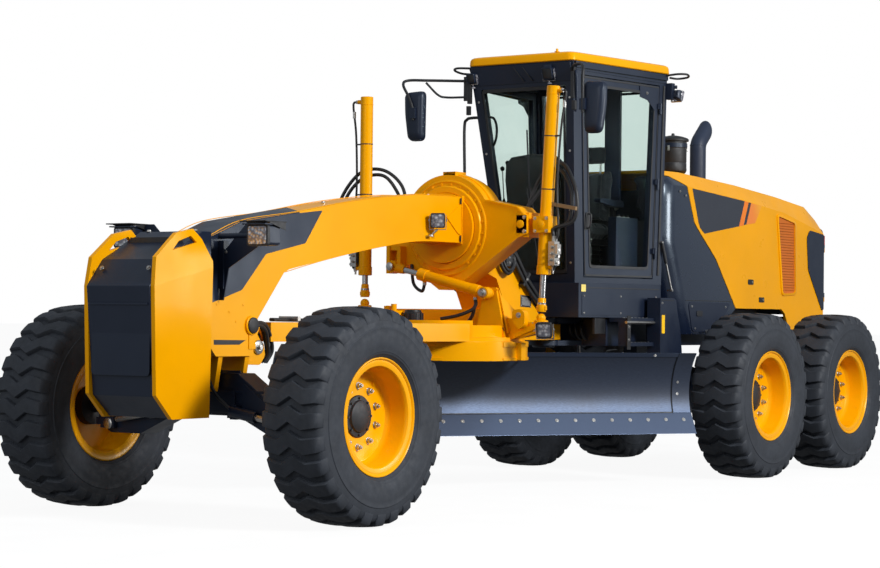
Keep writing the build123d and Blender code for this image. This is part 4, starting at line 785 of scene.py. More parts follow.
# Bracket that carries the centre-shift cylinder's rod end.
saddle.box((0.955, -0.372, 1.69), (0.1, 0.03, 0.2)).box((0.955, -0.47, 1.69), (0.1, 0.03, 0.2))
saddle.box((0.945, -0.42, 1.775), (0.09, 0.12, 0.03))
saddle.use(1).lathe((1.045, -0.42, 1.64), FORWARD, [(0, 0.03), (0.012, 0.03), (0.016, 0.022)], 20)
saddle.bolt((0.93, 0.218, 2.015), (1, -0.4, 0.3), 0.012)
saddle.done(bevel=0.0015, segments=2)

end_plate = Piece("beam_end_detail", "front_unit", "machine_yellow", "yellow", "black", "steel")
for side in (1, -1):
    y = side * 0.1601
    end_plate.use(0).slab([(0.985, 1.862), (0.985, 2.085), (1.03, 2.07), (1.165, 1.985), (1.03, 1.88)], y,
                          side * 0.007)
    end_plate.use(1)
    for z in (2.112, 1.84):
        end_plate.slab([(0.982, z - 0.022), (0.982, z + 0.022), (1.0, z + 0.022), (1.004, z - 0.022)],
                       side * 0.1685, side * 0.001)
    end_plate.use(0).tube(mirrored(side, [(3.8, 0.161, 1.742), (3.46, 0.161, 1.866), (2.9, 0.161, 1.947),
                                          (2.43, 0.161, 2.027), (2.03, 0.161, 2.083), (1.5, 0.161, 2.136),
                                          (1.0, 0.161, 2.144)]), 0.0028, sides=6)
    end_plate.tube(mirrored(side, [(3.0, 0.161, 1.552), (2.68, 0.161, 1.622), (2.31, 0.161, 1.692),
                                   (1.88, 0.161, 1.76), (1.49, 0.161, 1.805), (1.0, 0.161, 1.811)]),
                   0.0028, sides=6)
end_plate.use(2)
for x, y, z in ((1.3, 0.09, 2.138), (1.3, -0.09, 2.138), (2.4, 0.0, 2.032)):
    end_plate.bolt((x, y, z), (0.08, 0, 1), 0.013)
end_plate.done(bevel=0.0012, segments=1)

beam_lights = Piece("work_lights_beam", "front_unit", "lamp_black", "black", "lens", "steel")
work_light(beam_lights, (1.395, 0.245, 1.952), (0.8, 0.55, -0.12), 0.105, (1.4, 0.185, 1.845))
work_light(beam_lights, (1.395, -0.245, 1.952), (0.8, -0.55, -0.12), 0.105, (1.4, -0.185, 1.845))
for side in (1, -1):
    beam_lights.use(2).box((1.4, side * 0.178, 1.842), (0.05, 0.04, 0.006))
beam_lights.done()

mats["strap"] = painted("tan_strap_paint", colour(142, 114, 80), rough=0.5)
LIFTS = (("left", 1, 0.765, 1.27), ("right", -1, 0.8, 1.37))
for name, side, ball_y, ball_z in LIFTS:
    eye = Vector((0.84, side * ball_y, ball_z))
    trunnion = Vector((0.84, side * 0.8, 1.935))
    up = (trunnion - eye).normalized()
    top, foot = trunnion + up * 0.99, trunnion - up * 0.352
    out = Vector((0.12, side, 0)).normalized()

    def by(base, rise, reach, ahead=0.0):
        """Place measured from base: up the barrel, outboard and forward."""
        return base + up * rise + out * reach + FORWARD * ahead

    barrel = Piece(f"lift_cylinder_{name}_detail", f"lift_barrel_{name}", "machine_yellow", "yellow",
                   "hose", "steel", "black", "strap")
    barrel.lathe(top - up * 0.001, up, [(0, 0.0465), (0.003, 0.043), (0.004, 0.02)], 40)
    barrel.lathe(top - up * 0.06, up, [(0, 0.0465), (0.002, 0.049), (0.006, 0.049), (0.008, 0.0465)], 40,
                 closed=True)
    barrel.lathe(foot - up * 0.004, up, [(0, 0.03), (0, 0.044), (0.004, 0.0515), (0.062, 0.0515),
                                         (0.068, 0.0465), (0.068, 0.03)], 40, closed=True)
    # The trunnion's split housing, bolted across the barrel.
    barrel.box(trunnion + up * 0.002, (0.15, 0.128, 0.118))
    barrel.lathe(trunnion + FORWARD * 0.075, FORWARD, [(0, 0.034), (0.006, 0.034), (0.009, 0.028)], 24)
    for dy, dz in ((0.048, 0.045), (-0.048, 0.045), (0.048, -0.045), (-0.048, -0.045)):
        barrel.use(2).bolt(trunnion + Vector((0.075, dy, dz)), (1, 0, 0), 0.009)
    barrel.use(0)
    # Ports, the pipe that joins them, and its clips.
    for port in (top - up * 0.035, foot + up * 0.05):
        barrel.use(0).rod(by(port, 0, 0.034), by(port, 0, 0.074), 0.016)
        barrel.use(2).hexagon(by(port, 0, 0.072), by(port, 0, 0.09), 0.015)
    barrel.use(1).tube([by(top, -0.035, 0.088), by(top, -0.04, 0.112), by(top, -0.085, 0.116),
                        by(top, -0.3, 0.09), by(top, -0.7, 0.082), by(trunnion, -0.02, 0.112),
                        by(trunnion, -0.1, 0.106)], 0.0085, sides=10, steps=8)
    barrel.use(2)
    for along in (0.12, 0.145):
        spot = top - up * along + out * 0.108
        barrel.rod(spot + up * 0.012, spot - up * 0.012, 0.012, sides=14)
    barrel.use(3)
    for along in (0.36, 0.74):
        spot = top - up * along
        barrel.lathe(spot, up, rectangle(0, 0.0465, 0.008, 0.0482), 32, closed=True)
        barrel.box(spot + out * 0.062 + up * 0.004, (0.02, 0.034, 0.01))
    # Lock valve bolted to the barrel, with its fittings.
    block = trunnion - up * 0.205 + out * 0.084
    barrel.use(2).box(block, (0.066, 0.052, 0.17)).box(block + up * 0.03 + out * 0.03, (0.05, 0.03, 0.07))
    barrel.use(3).box(block - out * 0.028, (0.05, 0.012, 0.12))
    barrel.use(2)
    for dx, dz in ((0.018, 0.105), (-0.018, 0.112), (0.0, -0.105)):
        start = by(block, dz * 0.75, 0.0, dx)
        barrel.hexagon(start, start + up * (0.045 if dz > 0 else -0.04), 0.012)
        barrel.rod(start, start + up * (0.075 if dz > 0 else -0.065), 0.0075, sides=12)
    for dz in (-0.045, 0.0, 0.045):
        barrel.hexagon(by(block, dz, 0, 0.03), by(block, dz, 0, 0.052), 0.013)
        barrel.rod(by(block, dz, 0, 0.03), by(block, dz, 0, 0.06), 0.006, sides=10)
        barrel.hexagon(by(block, dz - 0.02, 0.025), by(block, dz - 0.02, 0.049), 0.012)
    barrel.use(1).tube([by(foot, 0.05, 0.088), by(foot, 0.056, 0.106), by(foot, 0.085, 0.104),
                        by(block, -0.12, 0.005)], 0.008, sides=10)
    # Supply hoses in two arcs from the valve round to the saddle's arm, held by a strap.
    for k, near in enumerate((0.0, 0.042)):
        start = by(block, 0.125, 0.0, 0.018 - 0.036 * k)
        barrel.use(1).tube([start, by(start, 0.055, 0.006),
                            by(trunnion, 0.03, 0.235 - near, -0.02),
                            by(trunnion, 0.22, 0.24 - near, -0.03),
                            by(trunnion, 0.42 - near, 0.105 - near * 0.5, -0.07),
                            by(trunnion, 0.445 - near, -0.06, -0.13),
                            by(trunnion, 0.32 - near, near - 0.205, -0.16),
                            by(trunnion, 0.105, -0.275, 0.03 * k - 0.12)], 0.013, sides=12, steps=8)
    barrel.use(4).prism([by(trunnion, rise, reach, -0.022) for rise, reach in
                         ((0.162, 0.04), (0.124, 0.262), (0.098, 0.262), (0.136, 0.04))], FORWARD * 0.03)
    barrel.done(bevel=0.0015, segments=1)

    rod = Piece(f"lift_rod_{name}_detail", f"lift_rod_{name}", "machine_yellow", "yellow", "chrome")
    start = eye + up * 0.046
    rod.lathe(start - up * 0.0005, up, [(0.0, 0.022), (0.0, 0.0325), (0.002, 0.0332), (0.05, 0.0332),
                                        (0.058, 0.03), (0.092, 0.028), (0.1, 0.0228), (0.1, 0.021)], 36,
              closed=False)
    rod.box(start + up * 0.026, (0.024, 0.078, 0.03))
    rod.done(bevel=0.002)

# Centre-shift cylinder: gland, port fittings, pin bolts and its hoses.
LUG_EYE, PIN_EYE = Vector((1.0, -0.42, 1.64)), Vector((1.0, 0.39, 1.447))
along = (LUG_EYE - PIN_EYE).normalized()
shift = Piece("shift_cylinder_detail", "shift_barrel", "machine_yellow", "yellow", "hose", "steel")
shift.lathe(PIN_EYE + along * 0.52, along, [(0, 0.039), (0.002, 0.0455), (0.07, 0.0455), (0.074, 0.04),
                                            (0.076, 0.0235)], 36, closed=False, caps=False)
shift.lathe(PIN_EYE + along * 0.05, along, [(0, 0.039), (0.002, 0.0435), (0.06, 0.0435), (0.064, 0.04)],
            36, closed=True)
shift.use(2).lathe(PIN_EYE + FORWARD * 0.03, FORWARD, [(0, 0.034), (0.014, 0.034), (0.018, 0.028)], 24)
shift.bolt(PIN_EYE + FORWARD * 0.047, (1, 0, 0), 0.016)
for at_port in (0.085, 0.545):
    spot = PIN_EYE + along * at_port
    shift.use(0).rod(spot, spot - UP * 0.052, 0.015)
    shift.use(2).hexagon(spot - UP * 0.05, spot - UP * 0.07, 0.0145)
# Each hose: radius, and points as (along the cylinder, up, forward) from its pin.
SHIFT_HOSES = (
    (0.013, ((0.085, -0.066, 0), (0.082, -0.105, 0), (0.11, -0.15, 0.015), (0.21, -0.215, 0.06),
             (0.33, -0.265, 0.09))),
    (0.012, ((0.545, -0.066, 0), (0.57, -0.12, 0), (0.66, -0.085, -0.02), (0.705, 0.045, -0.055))))
for radius, route in SHIFT_HOSES:
    shift.use(1).tube([PIN_EYE + along * a + UP * b + FORWARD * c for a, b, c in route], radius, sides=12,
                      steps=8)
shift.done(bevel=0.0015, segments=1)
eye_cap = Piece("shift_rod_end", "shift_rod", "machine_yellow", "yellow")
eye_cap.lathe(LUG_EYE - along * 0.104, along, [(0.0, 0.0232), (0.0, 0.031), (0.03, 0.036), (0.066, 0.038),
                                               (0.066, 0.0232)], 32, closed=True)
eye_cap.lathe(LUG_EYE - FORWARD * 0.0305, FORWARD, rectangle(0, 0.022, 0.061, 0.0452), 36, closed=True)
eye_cap.done(bevel=0.0015)


# ---------------------------------------------------------------- drawbar, circle and blade
CENTRE = Vector((0.87, -0.06, 0))
bar = Piece("drawbar_detail", "drawbar", "machine_yellow", "yellow", "steel", "black", "hose", "lens",
            "charcoal")


def arc(radius, start, end, z, steps=28):
    return [CENTRE + Vector((radius * cos(start + (end - start) * k / steps),
                             radius * sin(start + (end - start) * k / steps), z))
            for k in range(steps + 1)]


def band(piece, inner, outer, low, high, start, end, steps=28):
    """Upright curved strip about the circle's axis."""
    rows = [arc(inner, start, end, low, steps), arc(inner, start, end, high, steps),
            arc(outer, start, end, high, steps), arc(outer, start, end, low, steps)]
    return piece.faces([[row[k] for row in rows] for k in range(steps + 1)])


band(bar, 0.56, 0.572, 1.1305, 1.248, radians(-112), radians(56))
for angle in range(-100, 56, 13):
    spot = arc(0.589, radians(angle), radians(angle), 1.1302, 1)[0]
    bar.use(0).bolt(spot, (0, 0, 1), 0.0085)
bar.use(0)
band(bar, 0.59, 0.6015, 1.1302, 1.1325, radians(-150), radians(75), 40)
# Gusset beside the shift bracket, and the cap plates round it.
bar.prism([(0.914, 0.44, 1.484), (0.914, 0.525, 1.162), (0.66, 0.535, 1.162), (0.664, 0.525, 1.319),
           (0.787, 0.5, 1.326), (0.886, 0.452, 1.424)], (0, 0.01, 0))
bar.cross(rounded([(0.296, 1.468), (0.296, 1.487), (0.44, 1.4875), (0.458, 1.47), (0.452, 1.462)], 0.008),
          0.9352, 0.004)
bar.use(1).bolt((0.9352, 0.392, 1.447), (1, 0, 0), 0.022)
bar.use(0).rod((0.936, 0.39, 1.447), (0.952, 0.39, 1.447), 0.034, sides=28)
bar.use(2).cross([(0.505, 1.205), (0.517, 1.18), (0.512, 1.172), (0.498, 1.195)], 0.9352, 0.0008)
# Ball sockets bolted round the lift balls.
for side, ball_y, ball_z in ((1, 0.765, 1.27), (-1, 0.8, 1.37)):
    ball_at = Vector((0.84, side * ball_y, ball_z))
    bar.use(0).lathe(ball_at - UP * 0.04, UP, [(0, 0.046), (0.004, 0.052), (0.022, 0.052),
                                               (0.026, 0.045)], 32, closed=False)
    bar.box(ball_at - UP * 0.05, (0.1, 0.12, 0.024))
    for dx in (-0.036, 0.036):
        for dy in (-0.046, 0.046):
            bar.use(1).bolt(ball_at + Vector((dx, dy, -0.038)), (0, 0, 1), 0.008)
    bar.use(0).cross(mirrored(side, [(ball_y - 0.2, 1.12), (ball_y - 0.2, ball_z - 0.06),
                                     (ball_y + 0.02, ball_z - 0.055), (ball_y + 0.03, 1.21)]),
                     0.887, 0.01)
bar.use(0).cross(rounded([(0.585, 1.325), (0.585, 1.25), (0.64, 1.185), (0.69, 1.22), (0.69, 1.31),
                          (0.65, 1.335)], 0.02), 0.888, 0.055)
bar.use(1).bolt((0.943, 0.64, 1.29), (1, 0, 0), 0.014)
# Circle drive: motor, gearbox, valve and hoses.
DRIVE = Vector((1.24, -0.07, 1.126))
bar.use(0).lathe(DRIVE, UP, [(0, 0.115), (0.02, 0.115), (0.024, 0.1), (0.06, 0.098), (0.066, 0.085),
                             (0.1, 0.082)], 40)
for _, offset in around(8, 0.105):
    bar.use(1).bolt(DRIVE + offset + UP * 0.02, UP, 0.0075)
bar.use(2).lathe(DRIVE + UP * 0.1, UP, [(0, 0.066), (0.01, 0.07), (0.07, 0.07), (0.082, 0.06),
                                        (0.092, 0.058), (0.096, 0.045)], 28)
for angle, offset in around(12, 0.068):
    bar.box(DRIVE + offset + UP * 0.145, (0.014, 0.014, 0.055), spun(angle))
bar.use(0).box((1.315, -0.205, 1.285), (0.1, 0.125, 0.06))
bar.box((1.315, -0.225, 1.325), (0.07, 0.05, 0.045))
bar.box((1.315, -0.205, 1.21), (0.085, 0.16, 0.09))
bar.rod((1.345, -0.165, 1.312), (1.345, -0.165, 1.362), 0.021)
bar.rod((1.29, -0.255, 1.312), (1.29, -0.255, 1.35), 0.017)
for y in (-0.245, -0.205, -0.165):
    bar.use(1).hexagon((1.362, y, 1.29), (1.388, y, 1.29), 0.013)
    bar.use(0).rod((1.386, y, 1.29), (1.398, y, 1.29), 0.015, sides=14)
bar.use(1).hexagon((1.315, -0.272, 1.275), (1.315, -0.298, 1.275), 0.014)
bar.use(3)
for k in range(3):
    bar.tube([(1.39, -0.245 + 0.04 * k, 1.29), (1.45, -0.235 + 0.04 * k, 1.275),
              (1.62, -0.13 + 0.03 * k, 1.262), (1.95, -0.06 + 0.03 * k, 1.246),
              (2.5, -0.03 + 0.02 * k, 1.24), (2.95, 0.01 * k, 1.242)], 0.012, sides=10, steps=7)
bar.tube([(1.315, -0.296, 1.275), (1.315, -0.36, 1.29), (1.27, -0.43, 1.27), (1.2, -0.47, 1.2),
          (1.15, -0.48, 1.145)], 0.012, sides=10, steps=7)
bar.tube([(0.99, 0.155, 1.165), (0.985, 0.2, 1.2), (0.99, 0.27, 1.275), (1.0, 0.3, 1.34)], 0.013,
         sides=10)
bar.use(1)
for x in (1.75, 2.25, 2.75):
    bar.box((x, 0.0, 1.25), (0.03, 0.16, 0.03))
bar.use(0)
for side in (1, -1):
    for x, y in ((1.05, 0.3), (0.72, 0.36), (0.45, 0.18)):
        bar.bolt((x, -0.06 + side * y, 1.1302), (0, 0, 1), 0.012)
bar.done(bevel=0.0018, segments=2)

drawbar_light = Piece("work_light_drawbar", "drawbar", "lamp_black", "black", "lens", "steel")
work_light(drawbar_light, (0.99, 0.885, 1.185), (0.9, 0.3, -0.3), 0.112, (0.9, 0.775, 1.18))
drawbar_light.use(2).box((0.905, 0.79, 1.178), (0.07, 0.06, 0.006))
drawbar_light.done()

# Degrees the blade is turned on the circle.
BLADE_ANGLE = 56
FACING = Vector((cos(radians(BLADE_ANGLE)), sin(radians(BLADE_ANGLE)), 0))
ALONG = Vector((-FACING.y, FACING.x, 0))


def blade_point(x, y, z):
    """Place in the blade's own directions: x ahead of the blade, y along it to the left end."""
    return CENTRE + FACING * x + ALONG * y + UP * z


def blade_face(z, ahead=0.0):
    """How far ahead of the circle's axis the blade's face is at height z."""
    return 0.3657 - sqrt(max(0.0, 0.4407 ** 2 - (z - 0.7075) ** 2)) + ahead


ring = Piece("circle_detail", "circle", "machine_yellow", "yellow", "steel", "black")
for angle, offset in around(64, 0.466):
    ring.box(CENTRE + offset + UP * 1.058, (0.024, 0.022, 0.074), spun(angle))
for start, end in ((-158, -22), (22, 158)):
    band(ring, 0.6195, 0.6275, 0.963, 0.985, radians(BLADE_ANGLE + start), radians(BLADE_ANGLE + end), 40)
    band(ring, 0.6195, 0.6265, 1.06, 1.0975, radians(BLADE_ANGLE + start), radians(BLADE_ANGLE + end), 40)
block = CENTRE + Vector((0.635 * cos(radians(96)), 0.635 * sin(radians(96)), 1.03))
ring.box(block, (0.07, 0.05, 0.125), spun(radians(6)))
for s in (1, -1):
    for x in (-0.43, -0.22):
        ring.use(1).bolt(blade_point(x, s * 0.542, 0.935), ALONG * s, 0.011)
    ring.use(0).lathe(blade_point(-0.23, s * 0.5402, 0.54), ALONG * s,
                      [(0, 0.052), (0.01, 0.052), (0.014, 0.044)], 28)
    ring.use(1).bolt(blade_point(-0.23, s * 0.553, 0.54), ALONG * s, 0.016)
ring.done(bevel=0.0015, segments=1)

tip = Piece("tip_cylinder_detail", "tip_barrel", "machine_yellow", "yellow", "steel", "hose")
root = blade_point(-0.59, 0, 0.9)
tip.lathe(root + FACING * 0.232, FACING, [(0, 0.037), (0.002, 0.0425), (0.066, 0.0425), (0.069, 0.036),
                                          (0.069, 0.0215)], 32, closed=False, caps=False)
for x in (0.062, 0.25):
    tip.use(0).rod(root + FACING * x + UP * 0.03, root + FACING * x + UP * 0.05, 0.014)
    tip.use(1).hexagon(root + FACING * x + UP * 0.048, root + FACING * x + UP * 0.062, 0.012)
tip.done(bevel=0.0015, segments=1)

frame_detail = Piece("blade_carrier_detail", "blade_carrier", "machine_yellow", "yellow", "steel", "hose")
for s in (1, -1):
    for z in (0.56, 0.64, 0.76, 0.86):
        frame_detail.use(1).bolt(blade_point(-0.19, s * 0.4745, z), ALONG * s, 0.011)
    frame_detail.use(0).box(blade_point(-0.206, s * 0.437, 0.905), (0.03, 0.09, 0.1),
                            spun(radians(BLADE_ANGLE)))
for y in (-0.652, 0.42):
    frame_detail.use(0).rod(blade_point(-0.16, y, 0.725), blade_point(-0.19, y, 0.745), 0.014)
    frame_detail.use(1).hexagon(blade_point(-0.188, y, 0.743), blade_point(-0.204, y, 0.755), 0.012)
frame_detail.use(0).lathe(blade_point(-0.135, 0.4, 0.7), ALONG,
                          [(0, 0.0325), (0.001, 0.0365), (0.07, 0.0365), (0.074, 0.03)], 28,
                          closed=False, caps=False)
frame_detail.done(bevel=0.0015, segments=1)

# Lip along the blade's top, wear plates at its ends and the cutting edge's bolts.
blade = Piece("moldboard_detail", "moldboard", "blade_steel", "blade", "steel", "edge", "black")
START, END = -1.29, 2.07


def strip(piece, y0, y1, levels, ahead, depth):
    """Plate that follows the blade's hollow face between two stations."""
    front = [blade_face(z, ahead + depth) for z in levels]
    rear = [blade_face(z, ahead) for z in levels]
    outline = [(x, z) for x, z in zip(front, levels)] + [(x, z) for x, z in zip(rear[::-1], levels[::-1])]
    return piece.faces([[blade_point(x, y, z) for x, z in outline] for y in (y0, y1)])


LEVELS = [0.556 + (1.012 - 0.556) * k / 16 for k in range(17)]
blade.use(2)
strip(blade, START + 0.004, END - 0.004, [0.984, 0.996, 1.008, 1.0148], 0.0002, 0.006)
blade.use(0)
for y0, y1 in ((START, START + 0.15), (END - 0.15, END)):
    strip(blade, y0 + 0.001, y1 - 0.001, LEVELS, 0.0002, 0.01)
    blade.use(1)
    for z in (0.7, 0.79):
        y = y0 + 0.045 if y0 > 0 else y1 - 0.045
        slope = Vector((FACING * (0.3657 - blade_face(z))) + UP * (0.7075 - z)).normalized()
        blade.rod(blade_point(blade_face(z, 0.009), y, z),
                  blade_point(blade_face(z, 0.009), y, z) + slope * 0.003,
                  0.011, sides=18)
    blade.use(0)
blade.use(3)
strip(blade, START + 0.152, END - 0.152, [0.5556, 0.5625], 0.0002, 0.0045)
for y in (START + 0.1525, END - 0.1525):
    strip(blade, y - 0.0022, y + 0.0022, LEVELS, 0.0002, 0.0045)
blade.use(1)
count = 22
for k in range(count):
    y = START + 0.08 + (END - START - 0.16) * k / (count - 1)
    z = 0.505
    t = (z - 0.4) / 0.155
    x = 0.05 + 0.016 + (blade_face(0.555) + 0.0003 - 0.05) * t
    out = Vector(FACING * 0.155 + UP * (0.05 - blade_face(0.555))).normalized()
    blade.rod(blade_point(x - 0.001, y, z), blade_point(x - 0.001, y, z) + out * 0.0035, 0.015, sides=18)
    blade.rod(blade_point(x - 0.001, y, z) + out * 0.003, blade_point(x - 0.001, y, z) + out * 0.005,
              0.009, sides=12)
for y in (START + 0.35, 0.0, END - 0.35):
    blade.bolt(blade_point(blade_face(0.995, 0.006), y, 0.998), FACING, 0.009)
blade.use(0)
for y in (START + 0.1, -0.9, -0.15, 0.6, 1.35, END - 0.1):
    blade.box(blade_point(-0.098, y, 0.705), (0.04, 0.016, 0.28), spun(radians(BLADE_ANGLE)))
blade.done(bevel=0.001, segments=1)


# ---------------------------------------------------------------- cab
CAB_SILL, CAB_TOP, CAB_REAR = 1.545, 3.225, -1.27


def cab_front(z):
    """X of the windscreen's plane at height z."""
    return -0.336 + 0.276 * (z - CAB_SILL) / (CAB_TOP - CAB_SILL)


def cab_wall(side, x, z, out=0.0):
    """Point on the cab's side, out metres outside it."""
    t = (z - CAB_SILL) / (CAB_TOP - CAB_SILL)
    front, a, b = cab_front(z), 0.335 + 0.135 * t, 0.575 + 0.04 * t
    return Vector((x, side * (a + (b - a) * (front - x) / (front - CAB_REAR) + out), z))


def wall_plate(piece, side, points, out, depth, wall=cab_wall):
    """Outline of (X, Z) points laid on a side wall, out metres off it."""
    return piece.faces([[wall(side, x, z, out + d) for x, z in points] for d in (0, depth)])


def frame_of(outline, width):
    """Outer and inner outline of a thin frame; corners move towards the middle."""
    middle = sum((Vector(p) for p in outline), Vector((0, 0))) / len(outline)
    return [tuple(Vector(p) + (middle - Vector(p)).normalized() * width * 1.35) for p in outline]


def seal(piece, place, outline, width, depth, corner=0.035):
    """Raised strip that follows an outline; place(u, v, out) gives its points."""
    outer = rounded(outline, corner, 4)
    inner = rounded(frame_of(outline, width), corner * 0.8, 4)
    rings = [[place(u, v, 0) for u, v in outer], [place(u, v, depth) for u, v in outer],
             [place(u, v, depth) for u, v in inner], [place(u, v, 0) for u, v in inner]]
    return piece.faces(rings, closed=True)


def roof_ring(z, inset):
    front, rear, a, b = -0.04 - inset, -1.29 + inset, 0.48 - inset, 0.646 - inset
    return [(x, y, z) for x, y in rounded([(front, a), (rear, b), (rear, -b), (front, -a)], 0.06, 6)]


roof = Piece("cab_roof_cap", "rear_unit", "machine_yellow", "yellow")
roof.faces([roof_ring(*row) for row in ((3.2255, 0.03), (3.2258, 0.006), (3.232, 0.0), (3.27, 0.003),
                                        (3.284, 0.009), (3.293, 0.022), (3.2985, 0.05), (3.3, 0.11))])
for y in (-0.22, 0.22):
    roof.level(rounded([(-0.3, y - 0.09), (-0.3, y + 0.09), (-1.1, y + 0.11), (-1.1, y - 0.11)], 0.05),
               3.299, 0.007)
roof.lathe((-0.085, 0.31, 3.299), UP, [(0, 0.02), (0.004, 0.02), (0.006, 0.01), (0.022, 0.009),
                                       (0.026, 0.005)], 16)
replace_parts(roof.done(sharp=30), "cab_roof")

head = Piece("cab_header_trim", "rear_unit", "charcoal_paint", "charcoal", "black", "lens", "steel")


def screen_point(u, v, out):
    return (cab_front(v) + out, u, v)


header = [(-0.452, 3.212), (0.452, 3.212), (0.44, 3.075), (-0.44, 3.075)]
head.faces([[screen_point(u, v, 0.001) for u, v in header],
            [screen_point(u, v, 0.02 if v > 3.1 else 0.006) for u, v in header]])
head.use(1)
for y in (-0.02, 0.06):
    head.faces([[screen_point(u, v, 0.004 + d) for u, v in
                 ((y - 0.045, 3.2), (y - 0.037, 3.2), (y + 0.048, 3.088), (y + 0.04, 3.088))]
                for d in (0, 0.018)])
for side in (1, -1):
    gutter = [(-0.07, 3.222), (-1.262, 3.222), (-1.262, 3.176), (-0.09, 3.176)]
    wall_plate(head.use(0), side, gutter, 0.001, 0.016)
    wall_plate(head, side, [(-0.1, 3.17), (-1.262, 3.17), (-1.262, 3.15), (-0.1, 3.158)], 0.0008, 0.004)
    wall_plate(head.use(1), side, rectangle(-1.236, 1.62, -1.216, 3.13), 0.0008, 0.0092)
head.use(0).box((-0.052, 0.257, 3.19), (0.05, 0.06, 0.02))
for y, size in ((0.257, 0.092), (-0.442, 0.074)):
    work_light(head, (-0.03, y, 3.132), (1, 0, -0.28), size, (-0.07, y, 3.06))
for side in (1, -1):
    work_light(head, (-1.33, side * 0.69, 3.055), (-1, side * 0.15, -0.3), 0.085,
               (-1.275, side * 0.64, 3.05))
    head.use(0).box((-1.278, side * 0.64, 3.09), (0.05, 0.055, 0.13))
    head.rod((-1.272, side * 0.625, 3.125), (-1.3, side * 0.69, 3.125), 0.014)
head.use(1)
for side in (1, -1):
    head.tube(mirrored(side, [(-1.235, 0.63, 3.214), (-1.25, 0.725, 3.222), (-1.31, 0.772, 3.222),
                              (-1.395, 0.735, 3.21), (-1.375, 0.655, 3.2), (-1.285, 0.632, 3.2)]), 0.009,
              10, 6)
head.tube([(-0.075, -0.468, 3.216), (-0.04, -0.575, 3.219), (-0.09, -0.635, 3.21), (-0.18, -0.625, 3.194),
           (-0.205, -0.545, 3.186), (-0.16, -0.5, 3.182)], 0.009, 10, 6)
head.done(bevel=0.0015, segments=1)

screen = Piece("windscreen_trim", "rear_unit", "cab_plastic", "black", "steel")
seal(screen.use(0), lambda u, v, out: screen_point(u, v, out - 0.012),
     [(-0.375, 3.043), (0.375, 3.043), (0.272, 1.617), (-0.272, 1.617)], 0.022, 0.02)
screen.tube([(cab_front(1.6) + 0.012, 0.06, 1.6), (cab_front(1.66) + 0.045, 0.05, 1.68),
             (cab_front(2.28) + 0.026, -0.02, 2.28)], 0.006, 8)
screen.tube([(cab_front(1.6) + 0.012, 0.1, 1.6), (cab_front(1.66) + 0.045, 0.085, 1.68),
             (cab_front(2.28) + 0.026, 0.01, 2.28)], 0.005, 8)
screen.rod((cab_front(1.6) - 0.002, 0.08, 1.595), (cab_front(1.6) + 0.03, 0.08, 1.595), 0.024)
screen.faces([[(cab_front(z) + 0.012 + o, y + w, z)
               for w, o in ((-0.004, 0), (0.004, 0), (0.002, 0.016), (-0.002, 0.016))]
              for y, z in ((-0.03, 1.86), (0.0, 2.28), (0.02, 2.72))])
seal(screen, lambda u, v, out: (CAB_REAR - out, u, v),
     [(-0.485, 3.1), (0.485, 3.1), (0.475, 2.05), (-0.475, 2.05)], 0.02, 0.008)
for side in (1, -1):
    for z in (1.7, 2.1, 2.55, 2.95):
        w = abs(cab_wall(1, cab_front(z), z).y) - 0.035
        screen.use(1).rod((cab_front(z) - 0.001, side * w, z), (cab_front(z) + 0.004, side * w, z), 0.009)
screen.use(0)
screen.tube([(-0.185, -0.405, 1.92), (-0.155, -0.545, 1.93), (-0.152, -0.566, 2.02), (-0.15, -0.572, 2.4),
             (-0.15, -0.578, 2.76), (-0.148, -0.552, 2.825), (-0.14, -0.5, 2.835), (-0.14, -0.44, 2.835)],
            0.012, 12, 8)
screen.tube([(-0.235, -0.4, 2.845), (-0.25, -0.368, 2.835), (-0.25, -0.342, 2.78), (-0.25, -0.34, 2.7),
             (-0.25, -0.362, 2.63), (-0.255, -0.395, 2.615)], 0.01, 10, 6)
screen.done(bevel=0.001, segments=1)

# Mirrors: bulged housings on tube arms, glass to the rear.
mats["mirror"] = bare_steel("mirror_glass", (0.8, 0.83, 0.86, 1), 0.03, variety=0.03)
mirror = Piece("mirrors_detail", "rear_unit", "cab_plastic", "charcoal", "mirror", "black")
for side in (1, -1):
    shape = rounded([(0.722, 3.03), (0.905, 3.022), (0.9, 2.85), (0.868, 2.64), (0.728, 2.64)], 0.045, 5)
    middle = Vector((0.805, 2.845))

    def housing(scale, x):
        return [(x, side * (middle.x + (u - middle.x) * scale),
                 middle.y + (v - middle.y) * (0.4 + 0.6 * scale)) for u, v in shape]

    mirror.use(0).faces([housing(0.955, 0.166), housing(1.0, 0.168), housing(1.0, 0.19),
                         housing(0.94, 0.212), housing(0.78, 0.226), housing(0.5, 0.231)])
    mirror.use(1).faces([housing(0.93, 0.1675), housing(0.93, 0.1645)])
    mirror.use(0).box((0.236, side * (0.8 if side < 0 else 0.735), 2.855), (0.03, 0.052, 0.085))
    mirror.use(2)
    if side > 0:
        mirror.tube([(-0.058, 0.462, 3.15), (0.02, 0.52, 3.172), (0.12, 0.64, 3.17), (0.2, 0.712, 3.135),
                     (0.232, 0.73, 3.06), (0.24, 0.735, 2.93), (0.24, 0.735, 2.79)], 0.012, 12, 8)
    else:
        mirror.tube([(-0.048, -0.5, 3.116), (0.08, -0.76, 3.122), (0.17, -0.9, 3.12),
                     (0.225, -0.905, 3.08), (0.24, -0.84, 2.98), (0.24, -0.8, 2.88), (0.24, -0.8, 2.8)],
                    0.011, 12, 8)
        mirror.tube([(-0.048, -0.5, 2.99), (0.01, -0.64, 2.99), (0.045, -0.7, 3.01),
                     (0.095, -0.78, 3.105)], 0.009, 10, 8)
        mirror.box((-0.05, -0.5, 3.055), (0.012, 0.036, 0.19))
    mirror.box((-0.06, side * 0.47, 3.055), (0.03, 0.03, 0.235))
    mirror.box((-0.062, side * 0.48, 2.885), (0.028, 0.03, 0.07))
